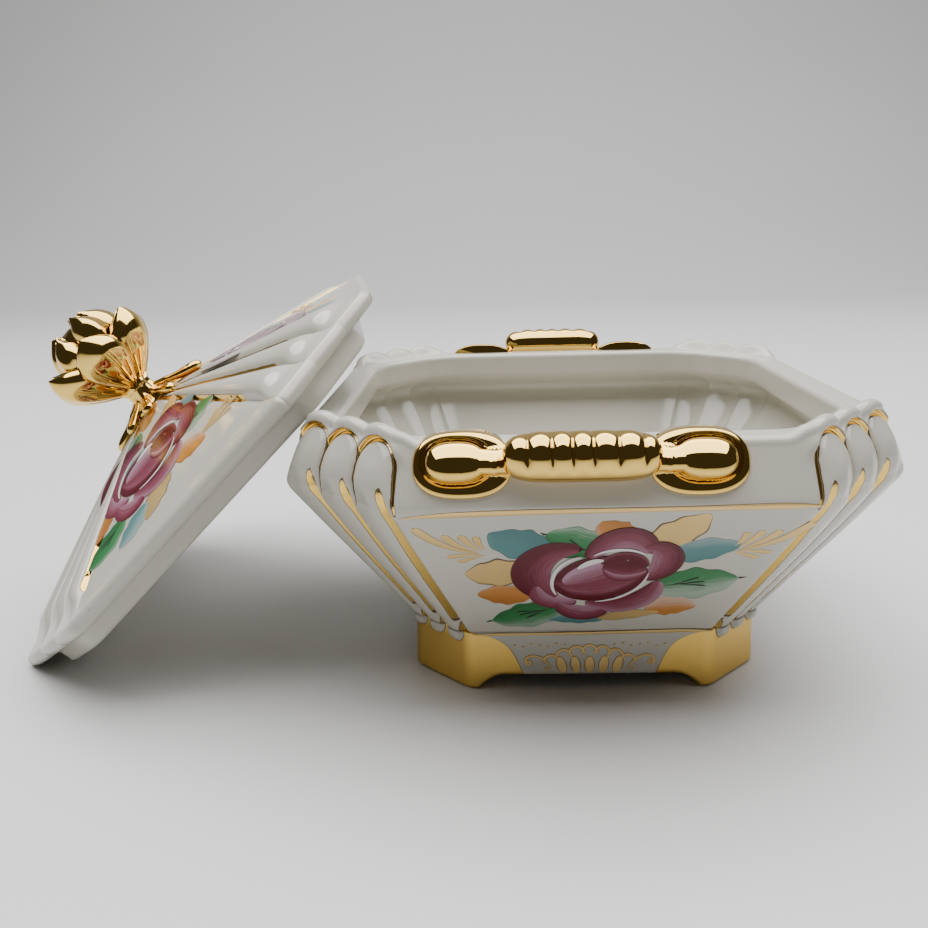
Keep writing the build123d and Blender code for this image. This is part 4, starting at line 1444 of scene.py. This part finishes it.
def plinth_scrolls(shape, side):
    """Lotus of five petals under seven arches, with a spiral on each side and a row of dots."""
    half = shape.plinth_width / MM / 2 - 0.2
    spread, line, pitch = 1.1, 0.33, 2.6
    strokes = []

    def face(x, y, height):
        return np.stack([-side * x * spread, side * (half + height), y + 0 * x], -1)

    def draw(name, controls, half_width, profile, count, around=8):
        strokes.append(brush_stroke(name, face, controls, half_width, profile, thick=0.12, count=count,
                                    around=around))
    for k in range(-2, 3):
        x, lean = pitch * k, 0.55 * k
        draw(f"lotus_{k}", ((x, 3.7), (x + lean * 0.4, 5.6), (x + lean, 8.0)), 1.05, "petal", 18, 10)
    for k in range(-3, 4):
        x = pitch * k
        top = 10.3 - 0.26 * k * k
        draw(f"arch_{k}", ((x - 1.6, top - 2.0), (x - 1.5, top + 1.0), (x + 1.5, top + 1.0), (x + 1.6,
                                                                                              top - 2.0)),
             line, "line", 22)
    for way in (-1, 1):
        draw("scroll", ((way * 7.4, 4.2), (way * 9.0, 9.6), (way * 15.5, 10.8), (way * 15.0, 4.2),
                        (way * 10.2, 3.6), (way * 11.4, 8.6), (way * 13.2, 6.2)), line, "line", 44)
        draw("curl", ((way * 8.2, 4.0), (way * 9.6, 4.4), (way * 9.0, 5.6), (way * 8.0, 5.0)), 0.2, "line",
             16)
        for k in range(7):
            x = way * (5.0 + 1.7 * k)
            y = 10.6 + 0.4 * math.sin(2.1 * k)
            draw("dot", ((x - 0.26, y), (x + 0.26, y)), 0.26, "disc", 8)
    return strokes


class TRINKET_OT_stage(bpy.types.Operator):
    """Set up the pale table and backdrop, the soft light and the camera"""
    bl_idname = "trinket.stage"
    bl_label = "Stage"

    def execute(self, context):
        studio, colours = context.scene.trinket_studio, context.scene.trinket_colours
        make_backdrop(colours)
        make_light(studio)
        make_camera(studio)
        return {"FINISHED"}


def make_backdrop(colours):
    """Seamless sheet: flat table, a quarter-round sweep of radius 500 mm far behind, and an upright wall."""
    front, back, wide, sweep, wall = -2600.0, 900.0, 2600.0, 500.0, 1800.0
    angle = np.linspace(0, math.pi / 2, 16)
    y = np.concatenate([[front, 0.0], back + sweep * np.sin(angle), [back + sweep]])
    z = np.concatenate([[0.0, 0.0], sweep * (1 - np.cos(angle)), [wall]])
    x = np.linspace(-wide, wide, 9)
    verts = np.stack(np.broadcast_arrays(x[None, :], y[:, None], z[:, None]), -1).reshape(-1, 3) * MM
    index = np.arange(len(y) * len(x)).reshape(len(y), len(x))
    quads = np.stack([index[:-1, :-1], index[:-1, 1:], index[1:, 1:], index[1:, :-1]], -1).reshape(-1, 4)
    mesh = bpy.data.meshes.new("backdrop")
    mesh.from_pydata(verts.tolist(), [], quads.tolist())
    mesh.polygons.foreach_set("use_smooth", np.ones(len(mesh.polygons), bool))
    obj = bpy.data.objects.new("backdrop", mesh)
    bpy.context.scene.collection.objects.link(obj)
    material = new_material("backdrop_paper")
    tree, shader = node_tree(material)
    place = add(tree, "ShaderNodeTexCoord")
    noise = add(tree, "ShaderNodeTexNoise", Scale=6.0, Detail=3.0)
    wire(tree, place.outputs["Object"], noise.inputs["Vector"])
    darker = tuple(c * 0.97 for c in colours.backdrop)
    wire(tree, mix_colour(tree, noise.outputs["Fac"], colours.backdrop, darker), shader.inputs["Base Color"])
    shader.inputs["Roughness"].default_value = 0.45
    mesh.materials.append(material)


def area_light(name, place, aim, size, power, colour=(1, 1, 1)):
    """A square soft light at place, in metres, facing aim."""
    light = bpy.data.lights.new(name, "AREA")
    light.shape = "RECTANGLE"
    light.size, light.size_y = size
    light.energy = power
    light.color = colour
    obj = bpy.data.objects.new(name, light)
    way = np.array(aim, float) - np.array(place, float)
    way /= np.linalg.norm(way)
    pitch = math.acos(-way[2])
    turn = math.atan2(way[0], -way[1]) if abs(way[0]) + abs(way[1]) > 1e-9 else 0.0
    obj.location = place
    obj.rotation_euler = (pitch, 0, turn + math.pi)
    bpy.context.scene.collection.objects.link(obj)
    return obj


def make_light(studio):
    """Even room light with one large overhead lamp."""
    world = bpy.data.worlds.new("studio")
    world.use_nodes = True
    bpy.context.scene.world = world
    back = world.node_tree.nodes["Background"]
    back.inputs["Color"].default_value = (1.0, 0.93, 0.80, 1.0)
    back.inputs["Strength"].default_value = studio.sky_strength
    area_light("overhead", (0.0, 0.10, 0.85), (0, 0.04, 0.0), (1.5, 1.0), studio.lamp_power)
    area_light("backdrop_wash", (0.0, 0.9, 1.5), (0, 1.3, 0.0), (2.4, 0.6), 0.35 * studio.lamp_power)


def make_camera(studio):
    """Camera from its place, yaw, pitch and roll."""
    data = bpy.data.cameras.new("camera")
    data.lens = studio.lens
    data.sensor_width = 36.0
    obj = bpy.data.objects.new("camera", data)
    yaw, pitch, roll = studio.camera_yaw, studio.camera_pitch, studio.camera_roll
    forward = np.array([math.sin(yaw) * math.cos(pitch), math.cos(yaw) * math.cos(pitch), -math.sin(pitch)])
    right = np.array([math.cos(yaw), -math.sin(yaw), 0.0])
    up = np.cross(right, forward)
    right, up = (math.cos(roll) * right + math.sin(roll) * up, -math.sin(roll) * right + math.cos(roll) * up)
    matrix = np.eye(4)
    matrix[:3, 0], matrix[:3, 1], matrix[:3, 2], matrix[:3, 3] = right, up, -forward, studio.camera_place
    obj.matrix_world = Matrix(matrix.tolist())
    bpy.context.scene.collection.objects.link(obj)
    bpy.context.scene.camera = obj
    data.clip_start = 0.01


class TRINKET_PT_panel(bpy.types.Panel):
    """Sidebar panel that lists the pieces"""
    bl_idname = "TRINKET_PT_panel"
    bl_label = "Trinket Box"
    bl_space_type = "VIEW_3D"
    bl_region_type = "UI"
    bl_category = "Trinket Box"

    def draw(self, context):
        for group in (context.scene.trinket_shape, context.scene.trinket_colours,
                      context.scene.trinket_studio):
            for key in group.__annotations__:
                self.layout.prop(group, key)
        for operator in PIECES:
            self.layout.operator(operator.bl_idname)


GROUPS = (TrinketBoxShape, TrinketBoxColours, TrinketBoxStudio)
PIECES = (TRINKET_OT_stage, TRINKET_OT_bowl, TRINKET_OT_plinth, TRINKET_OT_handles, TRINKET_OT_lid,
          TRINKET_OT_finial, TRINKET_OT_flowers, TRINKET_OT_gold_lines)


def register():
    """Registers the settings, the operators and the panel."""
    for cls in (*GROUPS, *PIECES, TRINKET_PT_panel):
        bpy.utils.register_class(cls)
    bpy.types.Scene.trinket_shape = PointerProperty(type=TrinketBoxShape)
    bpy.types.Scene.trinket_colours = PointerProperty(type=TrinketBoxColours)
    bpy.types.Scene.trinket_studio = PointerProperty(type=TrinketBoxStudio)


def unregister():
    """Takes back what register did."""
    for key in ("trinket_shape", "trinket_colours", "trinket_studio"):
        delattr(bpy.types.Scene, key)
    for cls in reversed((*GROUPS, *PIECES, TRINKET_PT_panel)):
        bpy.utils.unregister_class(cls)


def main():
    register()
    for operator in PIECES:
        space, name = operator.bl_idname.split(".")
        getattr(getattr(bpy.ops, space), name)()


if __name__ == "__main__":
    main()
